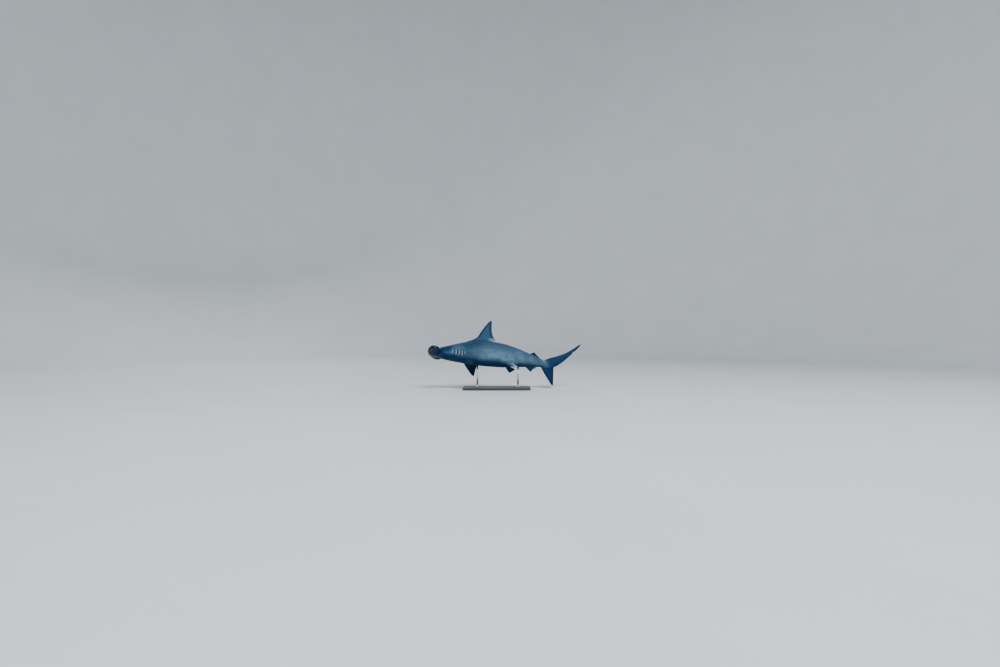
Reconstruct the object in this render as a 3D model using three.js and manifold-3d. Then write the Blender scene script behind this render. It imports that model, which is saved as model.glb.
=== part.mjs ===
// A scalloped hammerhead shark at life size, swimming in a gentle bank over a plain display stand.
//
// The shark is built straight in a frame of its own: x runs from the snout to the tail, y to the
// shark's right side and z to its back. bend() curves its rear, and the group "shark" then banks
// it, raises its nose a little and lifts it over the stand. The left side faces -Y in the end.
// Lengths are millimetres. pc(n) is n percent of the shark's total length.

import * as THREE from "three";
import { mergeVertices } from "three/addons/utils/BufferGeometryUtils.js";
import Module from "manifold-3d";

const wasm = await Module();
wasm.setup();

// Driving dimensions
const TOTAL_LENGTH = 2400; // snout to the tip of the upper tail lobe, with the tail laid straight
const GAP = 0.3; // between nodes that touch
const BANK_DEG = 19.5; // the left side is raised, so that the belly turns to the viewer
const NOSE_UP_DEG = 4;
const YAW_DEG = 0;
const TAIL_SWING_DEG = 22; // how far the tail is swung to the shark's right
const SWING_FROM = 34; // percent of the length where the swing starts and ends
const SWING_TO = 80;
const TIP_CLEARANCE = 45; // under the lowest fin tip, above the floor

const pc = (percent) => (percent / 100) * TOTAL_LENGTH;
const gapShare = (GAP * 100) / TOTAL_LENGTH; // the gap in percent
const clamp01 = (v) => Math.min(1, Math.max(0, v));
const smooth = (v, from, to) => {
  const t = clamp01((v - from) / (to - from));
  return t * t * (3 - 2 * t);
};
const bell = (v, middle, width) => Math.exp(-(((v - middle) / width) ** 2));
const point = (x, y, z) => new THREE.Vector3(x, y, z);

// The spine's heading turns towards +y between SWING_FROM and SWING_TO. A cross-section keeps its
// shape and follows the spine.
function bend(v) {
  const from = pc(SWING_FROM);
  if (v.x <= from) return v.clone();
  const swing = THREE.MathUtils.degToRad(TAIL_SWING_DEG);
  const heading = (s) => swing * smooth(s, from, pc(SWING_TO));
  const steps = 48;
  const step = (v.x - from) / steps;
  let x = from;
  let y = 0;
  for (let i = 0; i < steps; i++) {
    const angle = heading(from + (i + 0.5) * step);
    x += Math.cos(angle) * step;
    y += Math.sin(angle) * step;
  }
  const turn = heading(v.x);
  return point(x - Math.sin(turn) * v.y, y + Math.cos(turn) * v.y, v.z);
}

// Solids

// Turns a closed three.js geometry into a solid, faces outwards.
function solid(geometry) {
  const bare = geometry.index ? geometry.toNonIndexed() : geometry.clone();
  for (const name of ["normal", "uv"]) bare.deleteAttribute(name);
  const merged = mergeVertices(bare, 1e-3);
  const triVerts = new Uint32Array(merged.index.array);
  const vertProperties = new Float32Array(merged.attributes.position.array);
  const make = () => new wasm.Manifold(new wasm.Mesh({ numProp: 3, vertProperties, triVerts }));
  const made = make();
  if (made.volume() > 0) return made;
  for (let i = 0; i < triVerts.length; i += 3)
    [triVerts[i + 1], triVerts[i + 2]] = [triVerts[i + 2], triVerts[i + 1]];
  return make();
}

// A closed geometry through rings of equally many points, ending in one point at each end.
function loft(rings, firstPoint, lastPoint) {
  const sides = rings[0].length;
  const middle = (ring) =>
    ring.reduce((sum, p) => sum.add(p), new THREE.Vector3()).divideScalar(sides);
  const points = rings.flat();
  points.push(firstPoint ?? middle(rings[0]), lastPoint ?? middle(rings.at(-1)));
  const first = points.length - 2;
  const last = points.length - 1;
  const index = [];
  for (let k = 0; k < sides; k++) {
    const next = (k + 1) % sides;
    const end = (rings.length - 1) * sides;
    index.push(first, next, k, last, end + k, end + next);
    for (let r = 0; r + 1 < rings.length; r++) {
      const a = r * sides;
      const b = a + sides;
      index.push(a + k, a + next, b + next, a + k, b + next, b + k);
    }
  }
  const geometry = new THREE.BufferGeometry().setFromPoints(points);
  geometry.setIndex(index);
  return geometry;
}

// The same in the shark's frame, curved with its spine, as a solid
function loftSolid(rings, firstPoint, lastPoint) {
  const bent = rings.map((ring) => ring.map(bend));
  return solid(loft(bent, firstPoint && bend(firstPoint), lastPoint && bend(lastPoint)));
}

const joined = (solids) => solids.reduce((a, b) => a.add(b));
const largest = (s) => s.decompose().reduce((a, b) => (b.volume() > a.volume() ? b : a));

// Body: back, belly and half width along the body, in percent of the total length

const BODY = [
  { at: 1.6, back: 0.7, belly: -0.8, half: 2.5 },
  { at: 4, back: 1.6, belly: -1.6, half: 3.2 },
  { at: 7, back: 2.7, belly: -2.5, half: 3.8 },
  { at: 10.5, back: 4.1, belly: -3.5, half: 4.1 },
  { at: 15, back: 6.0, belly: -4.3, half: 4.5 },
  { at: 20, back: 7.7, belly: -4.9, half: 5.1 },
  { at: 26, back: 9.2, belly: -5.4, half: 5.8 },
  { at: 33, back: 10.1, belly: -5.9, half: 6.2 },
  { at: 41, back: 9.9, belly: -6.0, half: 6.1 },
  { at: 48, back: 9.0, belly: -5.8, half: 5.4 },
  { at: 55, back: 7.4, belly: -5.0, half: 4.4 },
  { at: 62, back: 5.3, belly: -4.0, half: 3.2 },
  { at: 68, back: 3.6, belly: -3.1, half: 2.15 },
  { at: 73, back: 2.5, belly: -2.4, half: 1.45 },
];
const BODY_SIDES = 36;
const RING_SPACING = 1.7; // percent
const HEAD_END = 13.6; // where the nodes of the body are parted, in percent
const SHOULDER_END = 28.8;
const TORSO_END = 47;
const HIND_END = 60.5;
const STALK_END = 73;

const bodyCurve = new THREE.CubicInterpolant(
  BODY.map((b) => b.at),
  BODY.flatMap((b) => [b.back, b.belly, b.half]),
  3,
);

// The section of the body at a distance in percent: sizes in mm, and how square its halves are.
function bodySection(at) {
  const [back, belly, half] = bodyCurve.evaluate(at);
  const trunk = smooth(at, 14, 30) * (1 - smooth(at, 50, 62));
  const head = 1 - smooth(at, 6, 17);
  return {
    back: pc(back),
    belly: pc(belly),
    half: pc(half),
    widest: pc(belly + (back - belly) * (0.5 - 0.05 * trunk)),
    backPower: 2 - 0.18 * trunk,
    bellyPower: 2 + 0.25 * trunk + 0.5 * head,
  };
}

function bodyRing(at, grow = 0) {
  const s = bodySection(at);
  const ring = [];
  for (let k = 0; k < BODY_SIDES; k++) {
    const angle = (2 * Math.PI * k) / BODY_SIDES;
    const [c, n] = [Math.cos(angle), Math.sin(angle)];
    const power = n >= 0 ? s.backPower : s.bellyPower;
    const rise = n >= 0 ? s.back - s.widest : s.widest - s.belly;
    ring.push(
      point(
        pc(at),
        (s.half + grow) * Math.sign(c) * Math.abs(c) ** (2 / power),
        s.widest + (rise + grow) * Math.sign(n) * Math.abs(n) ** (2 / power),
      ),
    );
  }
  return ring;
}

// The body between two distances in percent, with rings on a shared grid so that a fin cut by the
// grown body has facets parallel to the body's own.
function bodyPiece(from, to, grow = 0) {
  const at = [from];
  for (let s = RING_SPACING; s < to; s += RING_SPACING)
    if (s > from + 0.3 && s < to - 0.3) at.push(s);
  at.push(to);
  return loftSolid(at.map((s) => bodyRing(s, grow)));
}

// A point on the body's side at a height z in mm, and the outward direction there.
function sidePoint(at, z, side) {
  const s = bodySection(at);
  const upper = z >= s.widest;
  const share = Math.abs(z - s.widest) / (upper ? s.back - s.widest : s.widest - s.belly);
  const power = upper ? s.backPower : s.bellyPower;
  return point(pc(at), side * s.half * (1 - Math.min(1, share) ** power) ** (1 / power), z);
}

function sideNormal(at, z, side) {
  const along = sidePoint(at + 0.4, z, side).sub(sidePoint(at - 0.4, z, side));
  const up = sidePoint(at, z + 4, side).sub(sidePoint(at, z - 4, side));
  return along.cross(up).multiplyScalar(-side).normalize();
}

// Hammer: the wide, thin head blade, as sections across its span

const HAMMER_HALF = pc(12.4); // half its span
const HAMMER_LEVEL = pc(0.3);
const HAMMER_THICK = pc(2.1);
const HAMMER_SECTIONS = 46;
const HAMMER_SIDES = 18;
const TIP_FROM = pc(10.7); // where its blunt ends start to round off, seen from above
const TIP_EDGE_FROM = pc(11.5); // and seen from the front
const NOTCHES = [
  { y: 0, deep: 0.6, wide: 1.2 },
  { y: 5.4, deep: 0.4, wide: 1.1 },
  { y: 9.9, deep: 0.3, wide: 0.6 },
]; // the scallops of the front edge, in percent

function hammerFront(y) {
  const notch = NOTCHES.reduce((sum, n) => sum + n.deep * bell(y, pc(n.y), pc(n.wide)), 0);
  return pc(notch) + pc(3.2) * (y / HAMMER_HALF) ** 2.2;
}

function hammerBack(y) {
  const inward = Math.max(0, y - pc(3.6)) / pc(2.0);
  return pc(8.1) + pc(1.7) * Math.exp(-(inward ** 1.4)) - pc(0.35) * bell(y, pc(8), pc(2.5));
}

// Front and back edge and thickness at a distance y from the middle
function hammerChord(y) {
  const rounding = (from, power) => (1 - clamp01((y - from) / (HAMMER_HALF - from)) ** power) ** 0.5;
  const closing = rounding(TIP_FROM, 2.6);
  const [front, back] = [hammerFront(y), hammerBack(y)];
  const middle = front * 0.45 + back * 0.55;
  return {
    front: middle - (middle - front) * closing,
    back: middle + (back - middle) * closing,
    thick: (HAMMER_THICK + pc(1.6) * bell(y, 0, pc(4.4))) * rounding(TIP_EDGE_FROM, 2.2),
  };
}

// Half thickness along a chord, as a share of its most: blunt in front, thinner behind
function bladeShape(c) {
  const wing = 2.969 * Math.sqrt(c) - 1.26 * c - 3.516 * c ** 2 + 2.843 * c ** 3 - 1.036 * c ** 4;
  const oval = Math.sqrt(4 * c * (1 - c));
  return 0.62 * wing + 0.38 * oval;
}

function hammerRing(y) {
  const chord = hammerChord(Math.abs(y));
  const ring = [];
  for (let k = 0; k < HAMMER_SIDES; k++) {
    const angle = (2 * Math.PI * k) / HAMMER_SIDES;
    const share = (1 - Math.cos(angle)) / 2;
    const half = (chord.thick / 2) * bladeShape(share);
    ring.push(
      point(
        chord.front + (chord.back - chord.front) * share,
        y,
        HAMMER_LEVEL + Math.sign(Math.sin(angle)) * (k % (HAMMER_SIDES / 2) ? half : 0),
      ),
    );
  }
  return ring;
}

function hammer() {
  const rings = [];
  for (let i = 1; i < HAMMER_SECTIONS; i++) {
    const across = (2 * i) / HAMMER_SECTIONS - 1;
    rings.push(hammerRing(HAMMER_HALF * (0.5 * across + 0.5 * Math.sin((across * Math.PI) / 2))));
  }
  const chord = hammerChord(HAMMER_HALF);
  const end = (side) => point(chord.front, side * HAMMER_HALF, HAMMER_LEVEL);
  return loftSolid(rings, end(-1), end(1));
}

// Height of the head's underside
function underside(x, y) {
  const chord = hammerChord(Math.abs(y));
  const share = clamp01((x - chord.front) / (chord.back - chord.front));
  const blade = HAMMER_LEVEL - (chord.thick / 2) * bladeShape(share);
  const s = bodySection((100 * x) / TOTAL_LENGTH);
  const across = Math.min(1, Math.abs(y) / s.half) ** s.bellyPower;
  const neck = s.widest - (s.widest - s.belly) * (1 - across) ** (1 / s.bellyPower);
  return Math.min(blade, neck);
}

// A bar swept along a path, from a cross-section that path(t) gives for t from 0 to 1
const sweep = (section, steps) =>
  loftSolid(Array.from({ length: steps + 1 }, (_, i) => section(i / steps)));

// Mouth: an arch on the underside, with a lip before and behind its line

const MOUTH_HALF = pc(3.3);
const MOUTH_FRONT = pc(6.3);
const MOUTH_BACK = pc(9.4);
const MOUTH_STEPS = 16;

function mouthLine(offset, section) {
  return sweep((t) => {
    const angle = Math.PI * (t - 0.5);
    const outward = point(-Math.cos(angle), Math.sin(angle) * 0.8, 0).normalize();
    const x = MOUTH_BACK - (MOUTH_BACK - MOUTH_FRONT) * Math.cos(angle) + outward.x * offset;
    const y = MOUTH_HALF * Math.sin(angle) + outward.y * offset;
    const taper = 0.35 + 0.65 * Math.sin(Math.PI * clamp01(t)) ** 0.5;
    const z = underside(x, y);
    return section.map(([out, down]) =>
      point(x + outward.x * out * taper, y + outward.y * out * taper, z - down * taper),
    );
  }, MOUTH_STEPS);
}

const mouthLips = () =>
  joined([
    mouthLine(6.5, [[-5, -6], [-4, 2], [0, 4], [6, 1], [8, -6]]),
    mouthLine(-6.5, [[-9, -6], [-6, 1], [0, 3.5], [4, 2], [5, -6]]),
  ]);
const mouthSlit = () => mouthLine(0, [[-2.5, 12], [2.5, 12], [2, -10], [-2, -10]]);

// Nostrils: a slit at each outer front corner of the hammer with a flap before it, and a shallow
// groove that leads from it along the front edge

const NOSTRIL = { from: 9.3, to: 11.2 };
const NOSTRIL_FLAP = [[-9, -5], [-6, 3], [-2.5, 4], [-2, -5]];
const NOSTRIL_SLIT = [[-2.5, 9], [3, 9], [2.5, -9], [-2, -9]];
const GROOVE = { from: 5.0, to: 9.4 };
const GROOVE_SECTION = [[-3, 3], [3, 3], [1, -3.5], [-1, -3.5]];

// Follows the lower front edge of the hammer between two distances from the middle, in percent
function alongFront(side, { from, to }, section) {
  return sweep((t) => {
    const y = pc(from + (to - from) * t);
    const chord = hammerChord(y);
    const x = chord.front + pc(0.5 + 0.25 * smooth(y, pc(9.2), pc(11.2)));
    const share = (x - chord.front) / (chord.back - chord.front);
    const z = HAMMER_LEVEL - (chord.thick / 2) * bladeShape(share);
    const taper = 0.3 + 0.7 * Math.sin(Math.PI * t) ** 0.6;
    return section.map(([out, down]) => point(x + out * taper, side * y, z - down * taper));
  }, 6);
}

// Eyes: one at each end of the hammer, in a ringed socket

const EYE_RADIUS = pc(0.78);
const EYE_INSET = 15; // of the eyeball's middle from the end of the hammer
const EYE_AT = pc(5.7);
const eyeBall = (side, grow = 0) =>
  solid(
    new THREE.SphereGeometry(EYE_RADIUS + grow, 14, 10)
      .rotateX(Math.PI / 2)
      .translate(EYE_AT, side * (HAMMER_HALF - EYE_INSET), HAMMER_LEVEL),
  );
// The swelling round the socket
const orbit = (side) =>
  solid(
    new THREE.SphereGeometry(1, 16, 12)
      .rotateX(Math.PI / 2)
      .scale(pc(1.5), pc(1.05), pc(1.08))
      .translate(EYE_AT, side * (HAMMER_HALF - pc(1.05)), HAMMER_LEVEL),
  );
const eyeLid = (side) =>
  solid(
    new THREE.TorusGeometry(EYE_RADIUS * 0.82, 3.6, 7, 18)
      .scale(1.15, 1, 1)
      .rotateX(Math.PI / 2)
      .translate(EYE_AT, side * (HAMMER_HALF - 3.5), HAMMER_LEVEL),
  );

function head() {
  let made = hammer().add(bodyPiece(BODY[0].at, HEAD_END)).add(mouthLips());
  for (const side of [-1, 1]) {
    made = made
      .add(orbit(side))
      .add(eyeLid(side))
      .add(alongFront(side, NOSTRIL, NOSTRIL_FLAP))
      .subtract(alongFront(side, NOSTRIL, NOSTRIL_SLIT))
      .subtract(alongFront(side, GROOVE, GROOVE_SECTION))
      .subtract(eyeBall(side, GAP));
  }
  return largest(made.subtract(mouthSlit()));
}

// Gills: five slits a side, each behind a flap that lifts off the skin towards the tail

const GILLS = [0, 1, 2, 3, 4].map((i) => ({
  at: 15.6 + 1.75 * i,
  top: pc(1.6 - 0.3 * i),
  bottom: pc(-2.5 - 0.05 * i + (i === 4 ? 0.45 : 0)),
}));
const FLAP_LONG = pc(1.05);
const FLAP_RISE = 5;
const SLIT_WIDE = 7;
const SLIT_DEEP = 14;
const GILL_STEPS = 7;

function gillSweep(gill, side, section) {
  return sweep((t) => {
    const z = gill.top + (gill.bottom - gill.top) * t;
    const at = gill.at + 0.45 * Math.sin(Math.PI * t) - 0.5 * t;
    const skin = sidePoint(at, z, side);
    const out = sideNormal(at, z, side);
    const taper = 0.12 + 0.88 * Math.sin(Math.PI * t) ** 0.6;
    return section.map(([along, rise]) =>
      skin
        .clone()
        .add(point(along, 0, 0))
        .addScaledVector(out, rise * (rise > -1 ? taper : 1)),
    );
  }, GILL_STEPS);
}

const gillFlap = (gill, side) =>
  gillSweep(gill, side, [
    [-FLAP_LONG, -1.5],
    [-FLAP_LONG * 0.5, FLAP_RISE * 0.5],
    [-3, FLAP_RISE],
    [1.5, FLAP_RISE * 0.75],
    [1, -4],
    [-FLAP_LONG * 0.5, -7],
  ]);

function gillSlit(gill, side) {
  return sweep((t) => {
    const reach = Math.sin(Math.PI * (0.04 + 0.92 * t)) ** 0.6;
    const z = gill.top + (gill.bottom - gill.top) * (0.05 + 0.9 * t);
    const at = gill.at + 0.45 * Math.sin(Math.PI * t) - 0.5 * t;
    const skin = sidePoint(at, z, side);
    const out = sideNormal(at, z, side);
    const corner = (along, rise) => skin.clone().add(point(along, 0, 0)).addScaledVector(out, rise);
    return [
      corner(0, 8),
      corner(2 + SLIT_WIDE * reach, 8),
      corner(2 + SLIT_WIDE * 0.5 * reach, -1 - SLIT_DEEP * reach),
      corner(-3 * reach, -1 - SLIT_DEEP * reach),
    ];
  }, GILL_STEPS);
}

function shoulder() {
  let made = bodyPiece(HEAD_END + gapShare, SHOULDER_END);
  for (const side of [-1, 1]) for (const gill of GILLS) made = made.add(gillFlap(gill, side));
  for (const side of [-1, 1]) for (const gill of GILLS) made = made.subtract(gillSlit(gill, side));
  return largest(made);
}

// Fins
//
// A fin is drawn flat: a runs to the tail along its root and h away from the body, from the front
// of its root. apex is its tip, rear its free rear corner and root the length it is joined along.

const FINS = {
  firstDorsal: {
    root: 9.2, apex: [7.8, 13.4], tipWide: 1.0, rear: [12.3, 0.9], sweep: 1.1, hollow: 2.7,
    thick: 1.15, sink: 2.2, levels: 11, sides: 18,
  },
  secondDorsal: {
    root: 3.5, apex: [2.9, 2.5], tipWide: 0.8, rear: [7.7, 0.55], sweep: 1.1, hollow: 1.7,
    thick: 0.55, sink: 1.0, levels: 7, sides: 12,
  },
  anal: {
    root: 4.9, apex: [3.4, 3.3], tipWide: 0.7, rear: [7.7, 0.55], sweep: 1.15, hollow: 2.6,
    thick: 0.6, sink: 1.0, levels: 8, sides: 12,
  },
  pectoral: {
    root: 6.6, apex: [6.4, 12.2], tipWide: 1.3, rear: [9.2, 2.4], sweep: 1.12, hollow: 1.5,
    thick: 1.0, sink: 2.4, levels: 11, sides: 18,
  },
  pelvic: {
    root: 4.6, apex: [3.2, 3.9], tipWide: 0.9, rear: [7.0, 1.4], sweep: 1.1, hollow: 1.2,
    thick: 0.6, sink: 1.6, levels: 8, sides: 14,
  },
  lowerTail: {
    root: 9.2, apex: [8.4, 12.2], tipWide: 1.0, rear: [9.2, 0.0], sweep: 1.12, hollow: 1.25,
    thick: 0.85, sink: 2.0, levels: 11, sides: 16,
  },
};
const EDGE_THICK = 1.6; // of a fin's rear edge, mm
const TIP_SHARE = 0.996; // of a fin's height, where its last section lies

// Front and back of a fin at a height h, in percent
function finChord(fin, h) {
  const [apexA, apexH] = fin.apex;
  const [rearA, rearH] = fin.rear;
  const up = clamp01(h / apexH);
  const front = apexA * up ** fin.sweep;
  const behind = apexA + fin.tipWide;
  const back =
    h < rearH
      ? fin.root + (rearA - fin.root) * clamp01(h / rearH) ** 0.8
      : behind + (rearA - behind) * (1 - (h - rearH) / (apexH - rearH)) ** fin.hollow;
  const round = clamp01((up - 0.9) / 0.1);
  const closing = Math.sqrt(Math.max(0, 1 - round ** 2));
  const middle = front + (back - front) * 0.62;
  return {
    front: middle - (middle - front) * closing,
    back: middle + (back - middle) * closing,
    middle,
  };
}

// The heights of a fin's sections: close together at the free rear corner and at the rounded tip
function finLevels(fin) {
  const [rearH, apexH] = [fin.rear[1], fin.apex[1]];
  const low = rearH > 0 ? [0.35 * rearH, 0.75 * rearH, rearH] : [];
  const levels = [-fin.sink, 0, ...low];
  for (let i = 1; i < fin.levels; i++) {
    const share = Math.sin((Math.PI / 2) * (i / fin.levels));
    levels.push(rearH + (apexH * TIP_SHARE - rearH) * share);
  }
  return levels;
}

// frame: origin at the front of the root on the skin, along (to the tail), out (away from the body)
function fin(shape, frame) {
  const flat = new THREE.Vector3().crossVectors(frame.along, frame.out).normalize();
  const place = (a, h, t) =>
    frame.origin
      .clone()
      .addScaledVector(frame.along, pc(a))
      .addScaledVector(frame.out, pc(h))
      .addScaledVector(flat, t);
  const rings = finLevels(shape).map((h) => {
    const chord = finChord(shape, Math.max(0, h));
    const up = clamp01(h / shape.apex[1]);
    const flare = 1 + 0.9 * Math.exp(-Math.max(0, h) / (0.09 * shape.apex[1]));
    const thick = pc(shape.thick) * (1 - 0.78 * up) * flare * Math.min(1, (chord.back - chord.front) / 2);
    const ring = [];
    for (let k = 0; k < shape.sides; k++) {
      const angle = (2 * Math.PI * k) / shape.sides;
      const share = (1 - Math.cos(angle)) / 2;
      const half = (thick / 2) * bladeShape(share) + EDGE_THICK / 2;
      const side = Math.sign(Math.sin(angle)) * (k % (shape.sides / 2) ? 1 : 0);
      ring.push(place(chord.front + (chord.back - chord.front) * share, h, side * half));
    }
    return ring;
  });
  const top = finChord(shape, shape.apex[1] * TIP_SHARE);
  return loftSolid(rings, undefined, place(top.middle, shape.apex[1], 0));
}

const along = (x, z) => point(x, 0, z).normalize();
const outward = (side, degBelow) => {
  const angle = THREE.MathUtils.degToRad(degBelow);
  return point(0, side * Math.cos(angle), -Math.sin(angle));
};

// A fin's frame on the body: front of the root at a distance and height in percent
const onBack = (at, dip) => ({
  origin: point(pc(at), 0, bodySection(at).back - pc(dip)),
  along: along(4, (bodySection(at + 4).back - bodySection(at).back) / pc(1)),
  out: point(0, 0, 1),
});
const onBelly = (at, dip) => ({
  origin: point(pc(at), 0, bodySection(at).belly + pc(dip)),
  along: along(4, (bodySection(at + 4).belly - bodySection(at).belly) / pc(1)),
  out: point(0, 0, -1),
});
const onSide = (at, z, side, degBelow, dip) => ({
  origin: sidePoint(at, pc(z), side).addScaledVector(outward(side, degBelow), -pc(dip)),
  along: along(1, -0.02),
  out: outward(side, degBelow),
});

// Upper tail lobe: a blade that goes on from the stalk and rises to its tip

const lobeLine = new THREE.CubicBezierCurve3(
  point(STALK_END, 0, 0),
  point(79.5, 0, 0),
  point(89.2, 0, 8.0),
  point(100.3, 0, 18.0),
); // in percent
const LOBE = [
  { t: 0, high: 2.3, thick: 1.5, power: 2 },
  { t: 0.12, high: 2.75, thick: 1.1, power: 1.8 },
  { t: 0.3, high: 3.2, thick: 0.75, power: 1.5 },
  { t: 0.5, high: 2.5, thick: 0.6, power: 1.45 },
  { t: 0.7, high: 1.5, thick: 0.45, power: 1.45 },
  { t: 0.84, high: 1.0, thick: 0.32, power: 1.45 },
  { t: 0.94, high: 0.62, thick: 0.22, power: 1.6 },
  { t: 1.0, high: 0.2, thick: 0.1, power: 1.8 },
]; // half height and half thickness in percent
const LOBE_RINGS = 16;
const LOBE_SIDES = 20;
const LOBE_LAST = 0.995; // where its last section lies
const lobeCurve = new THREE.CubicInterpolant(
  LOBE.map((l) => l.t),
  LOBE.flatMap((l) => [l.high, l.thick, l.power]),
  3,
);

function lobeRing(t, grow = 0) {
  const [high, thick, power] = lobeCurve.evaluate(t);
  const at = lobeLine.getPoint(t);
  const forward = lobeLine.getTangent(t);
  const up = point(-forward.z, 0, forward.x);
  const notch = 0.55 * bell(t, 0.8, 0.02); // the nick before the lobe's end
  const ring = [];
  for (let k = 0; k < LOBE_SIDES; k++) {
    const angle = (2 * Math.PI * k) / LOBE_SIDES;
    const [c, n] = [Math.cos(angle), Math.sin(angle)];
    const reach = n < 0 ? high - notch : high;
    const rise = Math.sign(n) * Math.abs(n) ** (2 / power) * (pc(reach) + grow);
    const wide = Math.sign(c) * Math.abs(c) ** (2 / power) * (pc(thick) + grow);
    ring.push(point(pc(at.x) + up.x * rise, wide, pc(at.z) + up.z * rise));
  }
  return ring;
}

function upperLobe(grow = 0) {
  const start = grow ? 0 : gapShare / (3 * (lobeLine.v1.x - lobeLine.v0.x));
  const rings = [];
  for (let i = 0; i <= LOBE_RINGS; i++)
    rings.push(lobeRing(start + (LOBE_LAST - start) * (i / LOBE_RINGS), grow));
  return loftSolid(rings);
}

// The pit on top of the stalk, just before the tail fin
function tailPit() {
  const at = 72.1;
  const ball = new THREE.SphereGeometry(1, 12, 8)
    .scale(pc(0.5), pc(1.1), pc(0.5))
    .translate(pc(at), 0, bodySection(at).back + pc(0.12));
  const p = ball.attributes.position;
  for (let i = 0; i < p.count; i++) {
    const bent = bend(new THREE.Vector3().fromBufferAttribute(p, i));
    p.setXYZ(i, bent.x, bent.y, bent.z);
  }
  return solid(ball);
}

// The parts of the shark

const skinBody = bodyPiece(BODY[0].at, STALK_END + gapShare, GAP); // the body with a gap around it
const skinLobe = upperLobe(GAP);
const sideFin = (shape, at, z, side, degBelow, dip) =>
  largest(fin(shape, onSide(at, z, side, degBelow, dip)).subtract(skinBody));

const PECTORAL_BELOW_DEG = 30;
const PELVIC_BELOW_DEG = 52;
const onTop = (shape, at, dip) => largest(fin(shape, onBack(at, dip)).subtract(skinBody));
const underneath = (shape, at, dip) => largest(fin(shape, onBelly(at, dip)).subtract(skinBody));

const SKIN = { color: 0x6f7a78, roughness: 0.55, metalness: 0 };
const FIN = { color: 0x59635f, roughness: 0.55, metalness: 0 };
const EYE = { color: 0x15130f, roughness: 0.12, metalness: 0 };
const STEEL = { color: 0x9a9ca0, roughness: 0.35, metalness: 1 };
const PLINTH = { color: 0x26272a, roughness: 0.5, metalness: 0 };

function mesh(name, made, look) {
  const { numVert, numProp, vertProperties, triVerts } = made.getMesh();
  const xyz = new Float32Array(numVert * 3);
  for (let i = 0; i < numVert; i++)
    xyz.set(vertProperties.subarray(i * numProp, i * numProp + 3), i * 3);
  const geometry = new THREE.BufferGeometry();
  geometry.setAttribute("position", new THREE.BufferAttribute(xyz, 3));
  geometry.setIndex(new THREE.BufferAttribute(new Uint32Array(triVerts), 1));
  geometry.computeVertexNormals();
  const named = new THREE.Mesh(geometry, new THREE.MeshStandardMaterial(look));
  named.name = name;
  return named;
}

const shark = new THREE.Group();
shark.add(
  mesh("head", head(), SKIN),
  mesh("gills_and_shoulder", shoulder(), SKIN),
  mesh("torso", bodyPiece(SHOULDER_END + gapShare, TORSO_END), SKIN),
  mesh("hind_torso", bodyPiece(TORSO_END + gapShare, HIND_END), SKIN),
  mesh("tail_stalk", bodyPiece(HIND_END + gapShare, STALK_END).subtract(tailPit()), SKIN),
  mesh("tail_fin_upper_lobe", largest(upperLobe()), FIN),
  mesh("dorsal_fin_first", onTop(FINS.firstDorsal, 29.4, 0.35), FIN),
  mesh("dorsal_fin_second", onTop(FINS.secondDorsal, 63.9, 0.1), FIN),
  mesh("anal_fin", underneath(FINS.anal, 61.6, 0.1), FIN),
);
const lowerTailFrame = {
  origin: point(pc(71.6), 0, pc(-2.0)),
  along: along(8.3, 0.9),
  out: point(0, 0, -1),
};
shark.add(
  mesh(
    "tail_fin_lower_lobe",
    largest(fin(FINS.lowerTail, lowerTailFrame).subtract(skinBody).subtract(skinLobe)),
    FIN,
  ),
);
for (const [side, name] of [[-1, "left"], [1, "right"]])
  shark.add(
    mesh("pectoral_fin_" + name, sideFin(FINS.pectoral, 21.8, -3.2, side, PECTORAL_BELOW_DEG, 0.5), FIN),
    mesh("pelvic_fin_" + name, sideFin(FINS.pelvic, 48.9, -4.6, side, PELVIC_BELOW_DEG, 0.3), FIN),
    mesh("eye_" + name, eyeBall(side), EYE),
  );

// The shark is lifted so that its lowest tip clears the floor, with the middle of its body over
// the stand.

const STAND_UNDER = 43; // percent of the length over the stand's middle
shark.rotation.set(
  THREE.MathUtils.degToRad(-BANK_DEG),
  THREE.MathUtils.degToRad(NOSE_UP_DEG),
  THREE.MathUtils.degToRad(YAW_DEG),
  "ZYX",
);
shark.updateMatrixWorld(true);
const middle = bend(point(pc(STAND_UNDER), 0, 0)).applyMatrix4(shark.matrixWorld);
const lowest = new THREE.Box3().setFromObject(shark, true).min.z;
shark.position.set(-middle.x, -middle.y, TIP_CLEARANCE - lowest);
shark.updateMatrixWorld(true);

// Stand: a flat base and two upright rods whose tops are cut to the belly

const BASE_LONG = 1000;
const BASE_WIDE = 430;
const BASE_THICK = 34;
const BASE_CORNER = 40;
const BASE_BEVEL = 4;
const ROD_RADIUS = 13;
const RODS = [
  { name: "stand_rod_front", at: 31 },
  { name: "stand_rod_rear", at: 56.5 },
];

function base() {
  const [x, y, r] = [BASE_LONG / 2 - BASE_BEVEL, BASE_WIDE / 2 - BASE_BEVEL, BASE_CORNER];
  const outline = new THREE.Shape();
  outline.absarc(x - r, y - r, r, 0, Math.PI / 2);
  outline.absarc(-x + r, y - r, r, Math.PI / 2, Math.PI);
  outline.absarc(-x + r, -y + r, r, Math.PI, 1.5 * Math.PI);
  outline.absarc(x - r, -y + r, r, 1.5 * Math.PI, 2 * Math.PI);
  return solid(
    new THREE.ExtrudeGeometry(outline, {
      depth: BASE_THICK - 2 * BASE_BEVEL,
      bevelThickness: BASE_BEVEL,
      bevelSize: BASE_BEVEL,
      bevelSegments: 1,
      curveSegments: 6,
    }).translate(0, 0, BASE_BEVEL),
  );
}

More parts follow.
